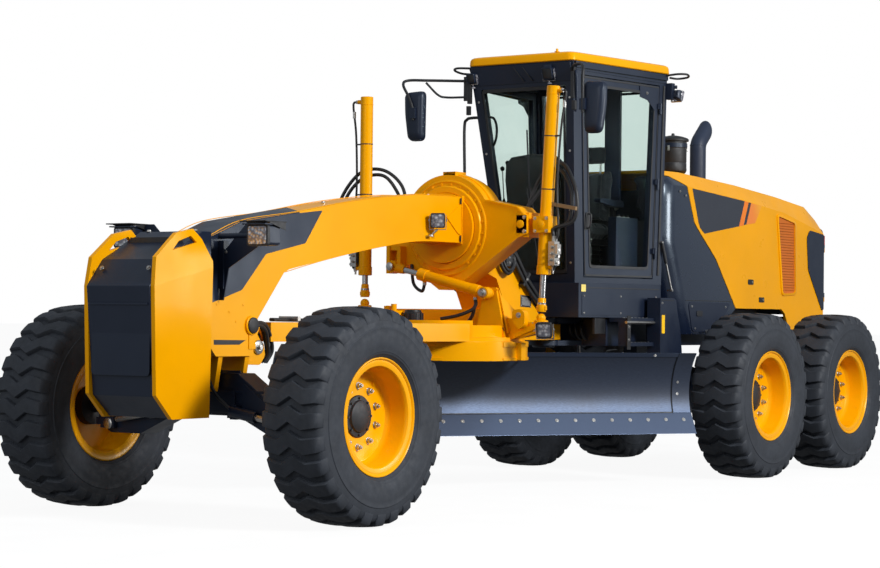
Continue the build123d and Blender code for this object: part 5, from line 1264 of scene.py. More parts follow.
mirror.use(0).tube([(-0.064, 0.488, 3.148), (-0.06, 0.5, 3.1), (-0.076, 0.492, 2.95), (-0.1, 0.47, 2.84)],
                   0.012, 10, 6)
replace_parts(mirror.done(bevel=0.0015, segments=1, sharp=50), "mirrors")

# Doors: gaskets, handles, corner plates, hinge caps.
for side_name, side in SIDES:
    door = Piece(f"door_{side_name}_detail", f"door_{side_name}", "cab_plastic", "black", "steel",
                 "charcoal")
    glass = [(cab_front(3.06) - 0.16, 3.06), (-1.105, 3.06), (-1.105, 1.67),
             (cab_front(1.67) - 0.16, 1.67)]
    seal(door.use(0), lambda u, v, out: cab_wall(side, u, v, out + 0.0005), [
        (u + (0.008 if i in (0, 3) else -0.008), v + (0.008 if i < 2 else -0.008))
        for i, (u, v) in enumerate(glass)], 0.018, 0.005)
    seal(door, lambda u, v, out: cab_wall(side, u, v, out + 0.0005), [
        (cab_front(3.118) - 0.101, 3.118), (-1.163, 3.118), (-1.163, 1.602),
        (cab_front(1.602) - 0.101, 1.602)], 0.01, 0.004, 0.02)
    wall_plate(door.use(2), side, [(-0.905, 3.105), (-1.156, 3.105), (-1.156, 2.94), (-1.11, 2.925),
                                   (-1.015, 3.0), (-0.915, 3.02)], 0.002, 0.005)
    door.use(1).bolt(cab_wall(side, -1.0, 3.055, 0.007), (0, side, 0), 0.009)
    latch_x = cab_front(2.02) - 0.135
    wall_plate(door.use(0), side, rounded(rectangle(latch_x + 0.024, 2.09, latch_x - 0.024, 1.955), 0.015),
               0.001, 0.008)
    door.tube([cab_wall(side, latch_x, 2.078, 0.01), cab_wall(side, latch_x, 2.07, 0.034),
               cab_wall(side, latch_x, 2.02, 0.038), cab_wall(side, latch_x, 1.975, 0.034),
               cab_wall(side, latch_x, 1.966, 0.01)], 0.007, 10, 5)
    door.tube([cab_wall(side, -0.43, 1.72, -0.075), cab_wall(side, -0.4, 1.98, -0.085),
               cab_wall(side, -0.41, 2.02, -0.115), cab_wall(side, -0.52, 2.02, -0.115),
               cab_wall(side, -0.545, 1.9, -0.1), cab_wall(side, -0.545, 1.72, -0.075)], 0.011, 10, 6)
    wall_plate(door, side, [(-0.385, 1.99), (-0.425, 1.99), (-0.52, 1.8), (-0.52, 1.665), (-0.475, 1.665),
                            (-0.475, 1.78)], -0.06, 0.03)
    for z in (1.75, 2.3, 2.9):
        spot = cab_wall(side, -1.171, z + 0.04, 0.016)
        door.use(2).rod(spot + Vector((0, 0, 0.0405)), spot + Vector((0, 0, 0.0465)), 0.0135)
    door.done(bevel=0.0012, segments=1)


# ---------------------------------------------------------------- operator's place
def woven(name, tint):
    """Woven upholstery: crossed threads, slight pilling and wear."""
    s = Shader(name)
    warp = s.noise(700, 2, (1, 0.12, 1))
    weft = s.noise(700, 2, (0.12, 1, 1))
    thread = s.node("ShaderNodeMath", operation="MAXIMUM")
    s.link(warp, thread.inputs[0])
    s.link(weft, thread.inputs[1])
    tone = s.ranged(thread.outputs[0], 0.45, 0.7, 0, 1)
    base = s.mixed(tone, shaded(tint, 0.6), shaded(tint, 1.5))
    return s.set(Base_Color=base, Roughness=0.92, Sheen_Weight=0.3,
                 Normal=s.bump(thread.outputs[0], 0.0012, 0.5))


mats["cushion"] = woven("seat_fabric_weave", colour(46, 50, 56))


def cushion(name, centre, size, corner, cap, lean=0.0, channels=()):
    """Stuffed block with rounded plan, inflated as cloth, with sewn channels along Y = values."""
    piece = Piece(name, "rear_unit", "seat_fabric", "cushion")
    turn = Matrix.Rotation(lean, 4, "Y")
    w, d, h = size[0] / 2, size[1] / 2, size[2] / 2
    plan = rounded(rectangle(-w, -d, w, d), corner, 6)
    piece.faces([[Vector(centre) + turn @ Vector((x * k, y * k, z)) for x, y in plan]
                 for z, k in ((-h, 0.9), (-h * 0.7, 0.99), (0, 1.0), (h * 0.7, 0.99), (h, 0.9))])
    pad = piece.done()
    scene = bpy.context.scene

    def settled():
        return bpy.data.meshes.new_from_object(pad.evaluated_get(bpy.context.evaluated_depsgraph_get()))

    remesh = pad.modifiers.new("remesh", "REMESH")
    remesh.mode, remesh.voxel_size = "VOXEL", 0.007
    pad.data = settled()
    pad.modifiers.clear()
    start = [v.co.copy() for v in pad.data.vertices]
    cloth = pad.modifiers.new("cloth", "CLOTH")
    cloth.settings.use_pressure = True
    cloth.settings.uniform_pressure_force = 4
    cloth.settings.effector_weights.gravity = 0
    for step in range(1, 21):
        scene.frame_set(step)
    swollen = settled()
    pad.modifiers.clear()
    for v, was in zip(swollen.vertices, start):
        move = v.co - was
        if move.length > cap:
            v.co = was + move.normalized() * cap
    for v in swollen.vertices:
        near = min((abs(v.co.y - y) for y in channels), default=1)
        if near < 0.014:
            v.co -= v.normal * 0.008 * (1 - near / 0.014) ** 0.7
    pad.data = swollen
    pad.data.shade_smooth()
    scene.frame_set(1)
    pad.modifiers.new("smooth", "SUBSURF").levels = 1
    pad.modifiers["smooth"].render_levels = 1
    return pad


chair = Piece("operator_seat_base", "rear_unit", "cab_plastic", "black", "charcoal", "steel")
for k in range(6):
    z = 1.64 + k * 0.036
    chair.level(rounded(rectangle(-1.085, -0.155, -0.765, 0.155), 0.05), z, 0.012)
    chair.level(rounded(rectangle(-1.07, -0.14, -0.78, 0.14), 0.045), z + 0.012, 0.024)
chair.level(rounded(rectangle(-1.1, -0.17, -0.75, 0.17), 0.03), 1.607, 0.034)
chair.level(rounded(rectangle(-1.14, -0.225, -0.68, 0.225), 0.05), 1.856, 0.046)
chair.slab([(-1.125, 1.9), (-1.19, 1.92), (-1.212, 2.44), (-1.185, 2.44)], -0.2, 0.4)
for side in (1, -1):
    chair.use(1).slab(rounded([(-1.145, 2.16), (-1.145, 2.215), (-0.77, 2.225), (-0.77, 2.19),
                               (-1.0, 2.165)], 0.015), side * 0.27 - 0.028, 0.056)
    chair.use(2).rod((-1.15, side * 0.215, 2.15), (-1.15, side * 0.262, 2.185), 0.012)
    chair.rod((-1.155, side * 0.07, 2.4), (-1.165, side * 0.07, 2.56), 0.008)
chair.use(2).rod((-0.74, 0.235, 1.88), (-0.7, 0.262, 1.895), 0.007)
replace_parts(chair.done(bevel=0.003), "operator_seat")
cushion("seat_cushion", (-0.915, 0, 1.968), (0.44, 0.44, 0.08), 0.07, 0.024, channels=(-0.13, 0.13))
cushion("seat_back_cushion", (-1.115, 0, 2.255), (0.07, 0.42, 0.42), 0.03, 0.024, -0.11,
        channels=(-0.12, 0.12))
cushion("seat_headrest", (-1.15, 0, 2.59), (0.06, 0.25, 0.13), 0.026, 0.014, -0.11)

inside = Piece("cab_controls", "rear_unit", "cab_plastic", "black", "charcoal", "steel", "rubber")
cowl = [(-0.25, 1.64), (-0.262, 2.35), (-0.245, 2.47), (-0.19, 2.525), (0.0, 2.545), (0.19, 2.525),
        (0.245, 2.47), (0.262, 2.35), (0.25, 1.64)]
inside.faces([[(x + (z - 2.3) * 0.16, y * k, z if z < 1.7 else z - drop) for y, z in cowl]
              for x, k, drop in ((-0.245, 0.9, 0.03), (-0.258, 0.97, 0.006), (-0.285, 1.0, 0.0),
                                 (-0.35, 1.0, 0.004), (-0.395, 0.96, 0.02))])
inside.use(1).cross(rounded([(-0.16, 2.33), (0.16, 2.33), (0.15, 2.46), (-0.15, 2.46)], 0.03),
                    -0.385, -0.014)
for side in (1, -1):
    inside.use(0).box((-0.4, side * 0.3, 2.01), (0.13, 0.1, 0.3))
    inside.use(1).box((-0.4, side * 0.3, 2.17), (0.135, 0.108, 0.022))
    for k, (dx, y, top) in enumerate(((0.04, 0.336, 2.445), (0.012, 0.312, 2.492), (-0.016, 0.288, 2.448),
                                      (-0.044, 0.264, 2.47))):
        foot, knob = Vector((-0.4 + dx, side * y, 2.18)), Vector((-0.385 + dx * 1.3, side * y, top))
        inside.use(3).lathe(foot, UP, [(0, 0.016), (0.02, 0.01), (0.034, 0.006)], 12)
        inside.use(2).rod(foot, knob, 0.0045, sides=10)
        inside.use(0).lathe(knob - Vector((0, 0, 0.02)), UP,
                            [(0, 0.006), (0.008, 0.015), (0.02, 0.019), (0.032, 0.014), (0.038, 0.005)], 14)
inside.use(3).level(rounded([(-0.45, -0.3), (-0.45, 0.3), (-1.15, 0.42), (-1.15, -0.42)], 0.04),
                    1.6055, 0.008)
for k in range(12):
    inside.box((-0.5 - k * 0.052, 0, 1.6155), (0.012, 0.54 + k * 0.012, 0.004))
inside.use(0).box((-1.165, 0.395, 1.83), (0.085, 0.2, 0.44))
inside.box((-1.165, -0.395, 1.83), (0.085, 0.2, 0.44))
for side in (1, -1):
    inside.use(1).box((-0.93, side * 0.415, 1.86), (0.34, 0.075, 0.42))
    for x in (-0.86, -0.93, -1.0):
        inside.use(2).rod((x, side * 0.415, 2.07), (x, side * 0.415, 2.078), 0.016)
        inside.use(0).rod((x, side * 0.415, 2.078), (x, side * 0.415, 2.094), 0.01)
inside.use(0).box((-0.62, 0, 3.14), (0.55, 0.6, 0.03))
for y in (-0.2, 0.2):
    inside.use(1).rod((-0.45, y, 3.126), (-0.45, y, 3.116), 0.042)
inside.use(2).rod((-0.585, 0, 2.226), (-0.595, 0, 2.243), 0.03)
inside.use(0).lathe((-0.597, 0, 2.247), (-0.5, 0, 0.86), [(0, 0.04), (0.01, 0.036), (0.014, 0.015)], 20)
inside.done(bevel=0.002, segments=1)


# ---------------------------------------------------------------- cab base, steps and side boxes
def base_wall(side, x, z, out=0.0):
    """Point on the side of the cab's base."""
    return Vector((x, side * (0.43 + 0.145 * (-0.24 - x) / 1.03 + out), z))


mats["sticker"] = plastic("blank_label", colour(255, 228, 120), 0.35)
mats["label"] = plastic("blank_warning_label", colour(252, 196, 20), 0.35)
under = Piece("cab_base_trim", "rear_unit", "charcoal_paint", "charcoal", "black", "steel", "sticker",
              "label", "rubber")
for side in (1, -1):
    wall_plate(under.use(1), side, rectangle(-0.262, 1.512, -1.245, 1.505), 0.0005, 0.0025, base_wall)
    wall_plate(under.use(0), side, rounded(rectangle(-0.275, 1.462, -1.225, 1.297), 0.012, 3), 0.0005,
               0.0035, base_wall)
    for x in (-0.3, -0.75, -1.2):
        for z in (1.445, 1.315):
            under.use(2).bolt(base_wall(side, x, z, 0.004), (0, side, 0), 0.006)
    under.use(0)
    box = [(-1.04, 1.44), (-1.262, 1.44), (-1.3, 1.425), (-1.322, 1.33), (-1.37, 1.2), (-1.4, 1.02),
           (-1.4, 0.96), (-1.04, 0.96)]
    under.slab(box, side * 0.581, side * 0.118)
    under.use(1).slab(rectangle(-1.052, 1.425, -1.258, 1.419), side * 0.699, side * 0.002)
    under.use(2).bolt((-1.07, side * 0.699, 1.4), (0, side, 0), 0.007)
    under.use(4).slab(rounded(rectangle(-1.062, 1.306, -1.112, 1.16), 0.006, 2), side * 0.6995,
                      side * 0.0012)
    under.use(1)
    for x in (-1.078, -0.642):
        under.box((x, side * 0.642, 1.165), (0.052, 0.006, 0.26))
    for k in range(7):
        under.use(2).lathe((-0.7 - k * 0.053, side * 0.6, 1.0895), UP, [(0, 0.014), (0.004, 0.01)], 12)
        under.lathe((-0.68 - k * 0.06, side * 0.575, 1.2795), UP, [(0, 0.014), (0.004, 0.01)], 12)
    for x in (-0.64, -1.08):
        for z in (1.11, 1.21):
            under.bolt((x, side * 0.6445, z), (0, side, 0), 0.008)
    under.rod((-0.6, side * 0.642, 1.245), (-1.1, side * 0.642, 1.245), 0.012)
    under.use(1).box((-0.52, side * 0.445, 1.215), (0.16, 0.02, 0.12))
wall_plate(under.use(3), 1, rectangle(-0.263, 1.532, -0.318, 1.478), 0.0042, 0.001, base_wall)
for side in (1, -1):
    under.use(2).rod((-1.238, side * 0.598, 1.885), (-1.378, side * 0.612, 1.51), 0.0075)
    under.use(1).rod((-1.238, side * 0.598, 1.885), (-1.3, side * 0.604, 1.719), 0.0135)
    under.use(2).rod((-1.232, side * 0.58, 1.885), (-1.232, side * 0.612, 1.885), 0.01)
    under.rod((-1.38, side * 0.575, 1.505), (-1.38, side * 0.622, 1.505), 0.01)
under.done(bevel=0.0015, segments=1)


# ---------------------------------------------------------------- hood, tank cover and rear
HOOD_Y = 0.58


def side_skin(piece, side, points, out=0.0005, depth=0.0012):
    """Flat outline of (X, Z) points laid on the hood's side."""
    y = HOOD_Y + out
    return piece.slab(points, side * y, side * depth)


mats["orange"] = painted("stripe_orange_paint", colour(246, 130, 32))
mats["decal"] = painted("decal_charcoal", colour(46, 50, 60), rough=0.36, coat=0.2)


def fading_orange():
    """Orange that fades out rearward into the hood's yellow."""
    s = Shader("fading_orange_paint")
    split = s.node("ShaderNodeSeparateXYZ")
    s.link(s.place, split.inputs["Vector"])
    slant = s.node("ShaderNodeMath", operation="MULTIPLY_ADD")
    s.link(split.outputs["Z"], slant.inputs[0])
    slant.inputs[1].default_value = -0.45
    s.link(split.outputs["X"], slant.inputs[2])
    fade = s.ranged(slant.outputs[0], -4.1, -3.83, 0, 1, smooth=True)
    grain = s.ranged(s.noise(30, 4), 0.3, 0.7, 0, 1)
    return s.set(Base_Color=s.mixed(fade, YELLOW, colour(246, 134, 36)),
                 Roughness=s.ranged(grain, 0, 1, 0.29, 0.38),
                 Normal=s.bump(s.noise(420, 2), 0.0004, 0.25), Coat_Weight=0.25, Coat_Roughness=0.12)


mats["fading"] = fading_orange()
mats["vent"] = painted("vent_shadow_paint", colour(206, 110, 28), rough=0.5, coat=0.05)

for side_name, side in SIDES:
    skin = Piece(f"hood_{side_name}_markings", "rear_unit", "machine_yellow", "decal", "orange", "fading",
                 "yellow", "vent", "black", "charcoal", "steel")
    side_skin(skin.use(0), side, [(-1.778, 2.346), (-2.725, 2.289), (-2.621, 2.069), (-1.996, 1.983),
                                  (-1.915, 2.03), (-1.885, 2.08)])
    side_skin(skin.use(1), side, [(-2.727, 2.289), (-2.801, 2.283), (-2.707, 2.081), (-2.623, 2.069)])
    side_skin(skin.use(0), side, [(-2.803, 2.283), (-2.845, 2.279), (-2.757, 2.091), (-2.709, 2.083)])
    side_skin(skin.use(2), side, [(-2.847, 2.279), (-3.055, 2.262), (-2.925, 2.109), (-2.759, 2.091)])
    # Side vent: raised frame round a recessed, louvred panel; panel and louvres are a darker orange,
    # painted shade of the recess.
    frame_out = rounded([(-3.345, 2.212), (-3.736, 2.155), (-3.76, 1.503), (-3.456, 1.489)], 0.05, 5)
    frame_in = rounded([(-3.362, 2.19), (-3.7, 2.138), (-3.722, 1.522), (-3.466, 1.51)], 0.035, 5)
    skin.use(3).faces([[(x, side * (HOOD_Y + o), z) for x, z in shape]
                       for shape, o in ((frame_out, 0.0), (frame_out, 0.008), (frame_in, 0.014),
                                        (frame_in, 0.001))], closed=True)
    skin.use(4).slab([(x, z) for x, z in frame_in], side * (HOOD_Y + 0.0008), side * 0.001)
    for k in range(26):
        z = 1.545 + k * 0.0235
        rear = -3.722 + (z - 1.522) * 0.036
        front = -3.466 + (z - 1.51) * 0.153
        if z < 2.16:
            skin.use(4).box(((rear + front) / 2, side * (HOOD_Y + 0.0045), z),
                            (front - rear - 0.02, 0.006, 0.007), Matrix.Rotation(side * 0.6, 4, "X"))
    # Latches.
    for x, z in ((-3.06, 1.45), (-2.85, 1.6)):
        skin.use(5).slab(rounded(rectangle(x - 0.05, z - 0.022, x + 0.05, z + 0.022), 0.01),
                         side * (HOOD_Y + 0.0005), side * 0.004)
        skin.use(7).rod((x - 0.02, side * (HOOD_Y + 0.004), z), (x - 0.02, side * (HOOD_Y + 0.01), z),
                        0.01)
    # Black corner panel at the rear and yellow skirt under the hood.
    corner = rounded([(-4.02, 2.09), (-4.325, 2.06), (-4.328, 1.373), (-4.285, 1.373), (-3.996, 1.729),
                      (-3.965, 2.019)], 0.03, 4)
    side_skin(skin.use(6), side, corner, 0.0005, 0.006)
    skin.use(3).slab([(-3.458, 1.3722), (-3.529, 1.332), (-3.655, 1.12), (-4.18, 1.12), (-4.328, 1.19),
                      (-4.328, 1.3722)], side * 0.556, side * 0.024)
    skin.slab(rectangle(-3.458, 1.4, -4.328, 1.3722), side * 0.551, side * 0.006)
    skin.done(bevel=0.0012, segments=1)

# Tank cover: rolled front corner, seams, cap and latches.
COVER_REAR = ((2.424, -1.469), (2.386, -1.594), (2.356, -1.684), (2.062, -1.817), (2.003, -1.888),
              (1.776, -2.199), (1.366, -2.569), (1.15, -2.2))


def cover_ring(side, z):
    front = -1.292 - max(0, 1.9 - z) * 0.4
    out = 0.579 - 0.09 * max(0, z - 2.357) / 0.118
    rear = between(COVER_REAR, z)
    bend = min(0.2, (front - rear) * 0.8)
    path = [(front, out - bend - 0.05)]
    for thick in (0.0, 0.018):
        corner = [(front - bend + (bend - thick) * cos(k * pi / 24),
                   out - bend + (bend - thick) * sin(k * pi / 24)) for k in range(13)]
        corner.append((rear, out - thick))
        path += corner if not thick else corner[::-1]
    path.append((front - 0.018, out - bend - 0.05))
    return [(x, side * y, z) for x, y in path]


for side_name, side in SIDES:
    cover = Piece(f"tank_cover_{side_name}", "rear_unit", "charcoal_paint", "cover", "black", "steel",
                  "charcoal")
    cy = 0.579
    levels = [1.152, 1.162, 1.25, 1.366, 1.45, 1.55, 1.65, 1.776, 1.85, 1.9, 1.95, 2.003, 2.03, 2.062,
              2.15, 2.25, 2.356, 2.386, 2.41, 2.424]
    cover.faces([cover_ring(side, z) for z in levels])
    if side > 0:
        cover.use(3).box((-1.52, 0, 1.8), (0.02, 0.84, 1.05))
    cover.use(1).slab(rectangle(-1.68, 1.432, -2.48, 1.426), side * (cy + 0.0003), side * 0.002)
    cover.use(3).slab(rounded([(-1.72, 1.416), (-2.48, 1.416), (-2.215, 1.17), (-1.79, 1.17)], 0.05, 4),
                      side * cy, side * 0.005)
    cover.use(1).slab(rounded(rectangle(-1.86, 1.345, -1.96, 1.3), 0.012), side * (cy + 0.005),
                      side * 0.006)
    for x, z in ((-1.78, 1.38), (-1.84, 1.2), (-2.16, 1.2), (-2.38, 1.38), (-1.56, 2.31), (-1.66, 2.28)):
        cover.use(2).bolt((x, side * (cy + 0.005), z), (0, side, 0), 0.007)
    cover.rod((-2.03, side * 0.64, 1.18), (-2.15, side * 0.7, 0.93), 0.009)
    cover.rod((-2.03, side * 0.56, 1.18), (-2.03, side * 0.65, 1.18), 0.012)
    made = cover.done(bevel=0.002, segments=2)
    if side > 0:
        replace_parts(made, "tank_cover")

# Hood top: seams, raised panels and lift handles.
HOOD_TOP = ((-1.29, 2.47), (-1.69, 2.475), (-2.7, 2.425), (-3.5, 2.365), (-4.09, 2.305), (-4.33, 2.195))


def hood_top(x):
    """Height of the hood's top at x."""
    return between(HOOD_TOP, x)


top = Piece("hood_top_detail", "rear_unit", "machine_yellow", "yellow", "black", "steel")
for x, w in ((-2.05, 0.49), (-3.35, 0.49)):
    top.use(1).faces([[(x + d, y, hood_top(x + d) + o) for y in (-w, w)]
                      + [(x - d, y, hood_top(x - d) + o) for y in (w, -w)]
                      for d, o in ((0.003, 0.0004), (0.003, 0.0012))])
for x0, x1 in ((-1.42, -1.98), (-3.44, -3.98)):
    top.use(0)
    for y in (-0.25, 0.25):
        plan = rounded([(x0, y - 0.14), (x0, y + 0.14), (x1, y + 0.14), (x1, y - 0.14)], 0.05)
        top.faces([[(x, yy, hood_top(x) + o) for x, yy in plan] for o in (0.0002, 0.006)])
for y in (-0.3, 0.3):
    top.use(2).tube([(-3.6, y, hood_top(-3.6)), (-3.6, y, hood_top(-3.6) + 0.04),
                     (-3.72, y, hood_top(-3.72) + 0.045), (-3.72, y, hood_top(-3.72))], 0.007, 8, 5)
top.done(bevel=0.0015)

pipe = Piece("exhaust_detail", "rear_unit", "exhaust_steel", "stack", "steel", "black")
EX = (-3.13, -0.087)
pipe.lathe((EX[0], EX[1], 2.399), UP, [(0, 0.071), (0, 0.096), (0.02, 0.094), (0.05, 0.084),
                                       (0.085, 0.0755), (0.12, 0.0718), (0.12, 0.07)], 40, caps=False)
pipe.lathe((EX[0], EX[1], 2.815), UP, rectangle(0, 0.0705, 0.01, 0.0722), 40, closed=True)
# Black disc across the cut end: the bore's soot and painted shade inside it.
soot_and_shade_mouth = [(EX[1] + 0.0655 * cos(k * pi / 20), 2.9455 + 0.089 * sin(k * pi / 20)) for k in range(40)]
pipe.use(2).cross(soot_and_shade_mouth, -3.2612, -0.0012)
pipe.done(bevel=0.001)

can = Piece("air_cleaner_detail", "rear_unit", "charcoal_paint", "black", "charcoal", "steel")
AC = (-2.45, 0.031)
can.lathe((AC[0], AC[1], 2.54), UP, [(-0.098, 0.078), (-0.098, 0.092), (-0.09, 0.092), (-0.084, 0.0805),
                                     (-0.016, 0.0805), (0.0, 0.112), (0.014, 0.1175), (0.07, 0.1175),
                                     (0.076, 0.1145), (0.082, 0.1175), (0.198, 0.1175), (0.202, 0.121),
                                     (0.245, 0.121), (0.249, 0.1175), (0.256, 0.118), (0.259, 0.135),
                                     (0.274, 0.137), (0.286, 0.124), (0.3, 0.082), (0.308, 0.04),
                                     (0.308, 0.015), (0.326, 0.013), (0.33, 0.006)], 44)
can.use(1).lathe((AC[0], AC[1], 2.743), UP, rectangle(0, 0.1212, 0.036, 0.1235), 44, closed=True)
can.use(0).rod((AC[0] - 0.05, AC[1] - 0.02, 2.585), (EX[0] + 0.3, EX[1], 2.585), 0.045, sides=24)
for angle in (0.2, 2.3, 4.4):
    can.use(2).box((AC[0] + 0.124 * cos(angle), AC[1] + 0.124 * sin(angle), 2.735), (0.01, 0.016, 0.045),
                   spun(angle))
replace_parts(can.done(bevel=0.0012, sharp=30), "air_cleaner")

# Rear door: louvred grille, tail lights; bumper and tow pocket.
grille = Piece("rear_grille_detail", "rear_grille_door", "charcoal_paint", "black", "charcoal", "steel")
seal(grille.use(1), lambda u, v, out: (-4.3805 - out, u, v), rectangle(-0.53, 2.105, 0.53, 1.35), 0.035,
     0.008, 0.05)
for k in range(22):
    z = 1.41 + k * 0.0305
    if z < 2.06:
        grille.use(0).box((-4.3845, 0, z), (0.012, 0.93, 0.013), Matrix.Rotation(-0.6, 4, "Y"))
for y in (-0.16, 0.16):
    grille.use(1).box((-4.3845, y, 1.728), (0.01, 0.022, 0.66))
grille.use(2).box((-4.392, -0.478, 1.72), (0.012, 0.03, 0.11))
grille.rod((-4.388, -0.478, 1.7), (-4.4, -0.478, 1.7), 0.009)
grille.done(bevel=0.001, segments=1)

tail = Piece("tail_light_detail", "rear_unit", "lamp_black", "black", "red", "amber", "steel", "charcoal")
for side in (1, -1):
    tail.use(0).cross(rounded(rectangle(side * 0.56, 2.055, side * 0.5, 1.905), 0.015), -4.336, -0.02)
    tail.use(4).slab([(-4.33, 2.062), (-4.352, 2.05), (-4.352, 1.9), (-4.33, 1.9)], side * 0.558,
                     side * 0.021)
    tail.use(1).box((-4.345, side * 0.5805, 2.01), (0.014, 0.004, 0.085))
    tail.use(1).box((-4.357, side * 0.53, 2.015), (0.004, 0.046, 0.065))
    tail.use(2).box((-4.357, side * 0.53, 1.94), (0.004, 0.046, 0.05))
    for z in (1.035, 1.195):
        tail.use(3).bolt((-4.4005, side * 0.5, z), (-1, 0, 0), 0.012)
        tail.bolt((-4.4005, side * 0.28, z), (-1, 0, 0), 0.012)
    tail.use(1).cross(rounded(rectangle(side * 0.36, 1.085, side * 0.46, 1.145), 0.008), -4.4005, -0.006)
tail.use(4).cross(rounded(rectangle(-0.545, 1.235, 0.545, 1.295), 0.015), -4.4005, -0.005)
tail.done(bevel=0.0012, segments=1)


# ---------------------------------------------------------------- column, hitch and running gear
column = Piece("column_detail", "front_unit", "charcoal_paint", "black", "steel", "hose", "yellow")
column.slab([(0.228, 1.445), (0.076, 1.435), (0.08, 1.35), (0.227, 1.355)], 0.2002, 0.0016)
column.use(1).slab([(0.214, 1.432), (0.09, 1.423), (0.094, 1.362), (0.213, 1.367)], 0.2016, 0.0006)
for x, z in ((0.222, 1.438), (0.084, 1.43), (0.087, 1.356), (0.221, 1.361)):
    column.bolt((x, 0.2018, z), (0, 1, 0), 0.004)
# Connector block with two hose loops, and the hose bundle that it feeds.
column.use(0).box((0.452, 0.222, 1.728), (0.085, 0.044, 0.15))
column.box((0.452, 0.25, 1.76), (0.05, 0.02, 0.05))
column.use(1)
for k, z in enumerate((1.775, 1.738, 1.7)):
    for x, way in ((0.494, 1), (0.41, -1)):
        column.hexagon((x, 0.226, z), (x + way * 0.022, 0.226, z), 0.013)
    column.bolt((0.452, 0.2445, z - 0.02), (0, 1, 0), 0.006)
column.use(2)
column.tube([(0.512, 0.226, 1.775), (0.55, 0.23, 1.772), (0.583, 0.238, 1.735), (0.56, 0.244, 1.655),
             (0.49, 0.246, 1.6), (0.42, 0.244, 1.625), (0.372, 0.236, 1.68), (0.372, 0.228, 1.722),
             (0.398, 0.226, 1.738)], 0.0145, sides=12)
column.tube([(0.512, 0.226, 1.738), (0.536, 0.232, 1.733), (0.548, 0.246, 1.7), (0.52, 0.256, 1.64),
             (0.47, 0.258, 1.624), (0.425, 0.254, 1.65), (0.398, 0.24, 1.685), (0.395, 0.228, 1.698)],
            0.0125, sides=12)
for k in range(4):
    drop, out = 0.034 * k, 0.012 * (k % 2)
    column.tube([(0.402, 0.222 + out, 1.785 - drop * 0.6), (0.35, 0.226 + out, 1.76 - drop),
                 (0.285, 0.226 + out, 1.69 - drop), (0.19, 0.224 + out, 1.588 - drop * 0.9),
                 (0.095, 0.224 + out, 1.505 - drop * 0.8), (0.01, 0.222, 1.432 - drop * 0.6),
                 (-0.04, 0.205, 1.395 - drop * 0.5), (-0.072, 0.16, 1.378 - drop * 0.5)], 0.0125,
                sides=12)
column.use(0).box((0.208, 0.224, 1.56), (0.022, 0.044, 0.13), Matrix.Rotation(radians(-44), 4, "Y"))
column.use(1).bolt((0.208, 0.246, 1.56), (0, 1, 0), 0.008)
column.use(0).box((-0.062, 0.135, 1.35), (0.05, 0.07, 0.11))
# Hose bundle from the beam to the drawbar, clamped under the saddle on the far side.
column.use(2)
for k in range(3):
    y = -0.214 - 0.026 * (k % 2)
    column.tube([(0.66, -0.17, 1.65 - 0.03 * k), (0.61, y, 1.64 - 0.03 * k),
                 (0.52, y - 0.004, 1.56 - 0.03 * k), (0.36, y - 0.004, 1.49 - 0.03 * k),
                 (0.2, y, 1.4 - 0.03 * k), (0.04, -0.205, 1.33 - 0.02 * k),
                 (-0.03, -0.15, 1.3 - 0.02 * k)], 0.013, sides=12)
# Yellow strap on the column's left side.
column.use(3).slab([(0.25, 1.33), (0.085, 1.13), (0.105, 1.122), (0.275, 1.325)], 0.2003, 0.006)
column.done(bevel=0.0012, segments=1)

hitch = Piece("hitch_detail", "rear_unit", "charcoal_paint", "charcoal", "steel", "black", "hose")
hitch.lathe((-0.43, 0, 1.2685), UP, [(0, 0.088), (0.012, 0.088), (0.017, 0.082), (0.017, 0.03)], 32)
for _, offset in around(6, 0.066):
    hitch.use(1).bolt(Vector((-0.43, 0, 1.2855)) + offset, UP, 0.007)
hitch.use(0).lathe((-0.43, 0, 1.0605), -UP, [(0, 0.088), (0.012, 0.088), (0.017, 0.082), (0.017, 0.03)],
                   32)
hitch.use(2).box((-0.715, 0, 1.292), (0.05, 0.52, 0.046))
hitch.use(3)
for k in range(3):
    hitch.tube([(-0.64, 0.16 + 0.04 * k, 1.255), (-0.6, 0.15 + 0.04 * k, 1.235),
                (-0.575, 0.15 + 0.05 * k, 1.18), (-0.6, 0.165 + 0.05 * k, 1.125),
                (-0.64, 0.18 + 0.05 * k, 1.105)], 0.013, sides=12)
# Posts of the rear window.
hitch.use(0)
for side in (1, -1):
    hitch.box((-1.168, side * 0.18, 2.66), (0.03, 0.14, 0.92))
hitch.done(bevel=0.002, segments=1)

gear = Piece("running_gear_detail", "rear_unit", "charcoal_paint", "charcoal", "steel", "black", "hose")
for side in (1, -1):
    gear.use(0).slab(rounded(rectangle(-2.45, 0.79, -2.85, 0.54), 0.05, 4), side * 0.8002, side * 0.01)
    gear.use(1)
    for x in (-2.48, -2.593, -2.707, -2.82):
        for z in (0.765, 0.565):
            gear.bolt((x, side * 0.8104, z), (0, side, 0), 0.01)
    gear.rod((-2.65, side * 0.72, 0.864), (-2.65, side * 0.72, 0.9), 0.011)
    gear.use(3).tube(mirrored(side, [(-2.6, 0.7, 0.866), (-2.59, 0.69, 0.93), (-2.52, 0.64, 0.985),
                                     (-2.46, 0.56, 0.995), (-2.42, 0.48, 1.0)]), 0.01, sides=10)
for side in (1, -1):
    for _, offset in around(10, 0.16, "Y", 0.5):
        gear.use(1).bolt(Vector((-2.65, side * 0.3, 0.665)) + offset, (0, side, 0), 0.01)
    gear.use(0).lathe((-2.65, side * 0.27, 0.665), Vector((0, side, 0)),
                      [(0, 0.118), (0, 0.185), (0.026, 0.185), (0.029, 0.178),
                       (0.029, 0.118)], 48, closed=True)
gear.lathe((-2.32, 0, 0.665), FORWARD, [(0.0003, 0.09), (0.02, 0.09), (0.024, 0.06), (0.06, 0.056),
                                        (0.062, 0.03)], 32)
gear.done(bevel=0.0015, segments=1)


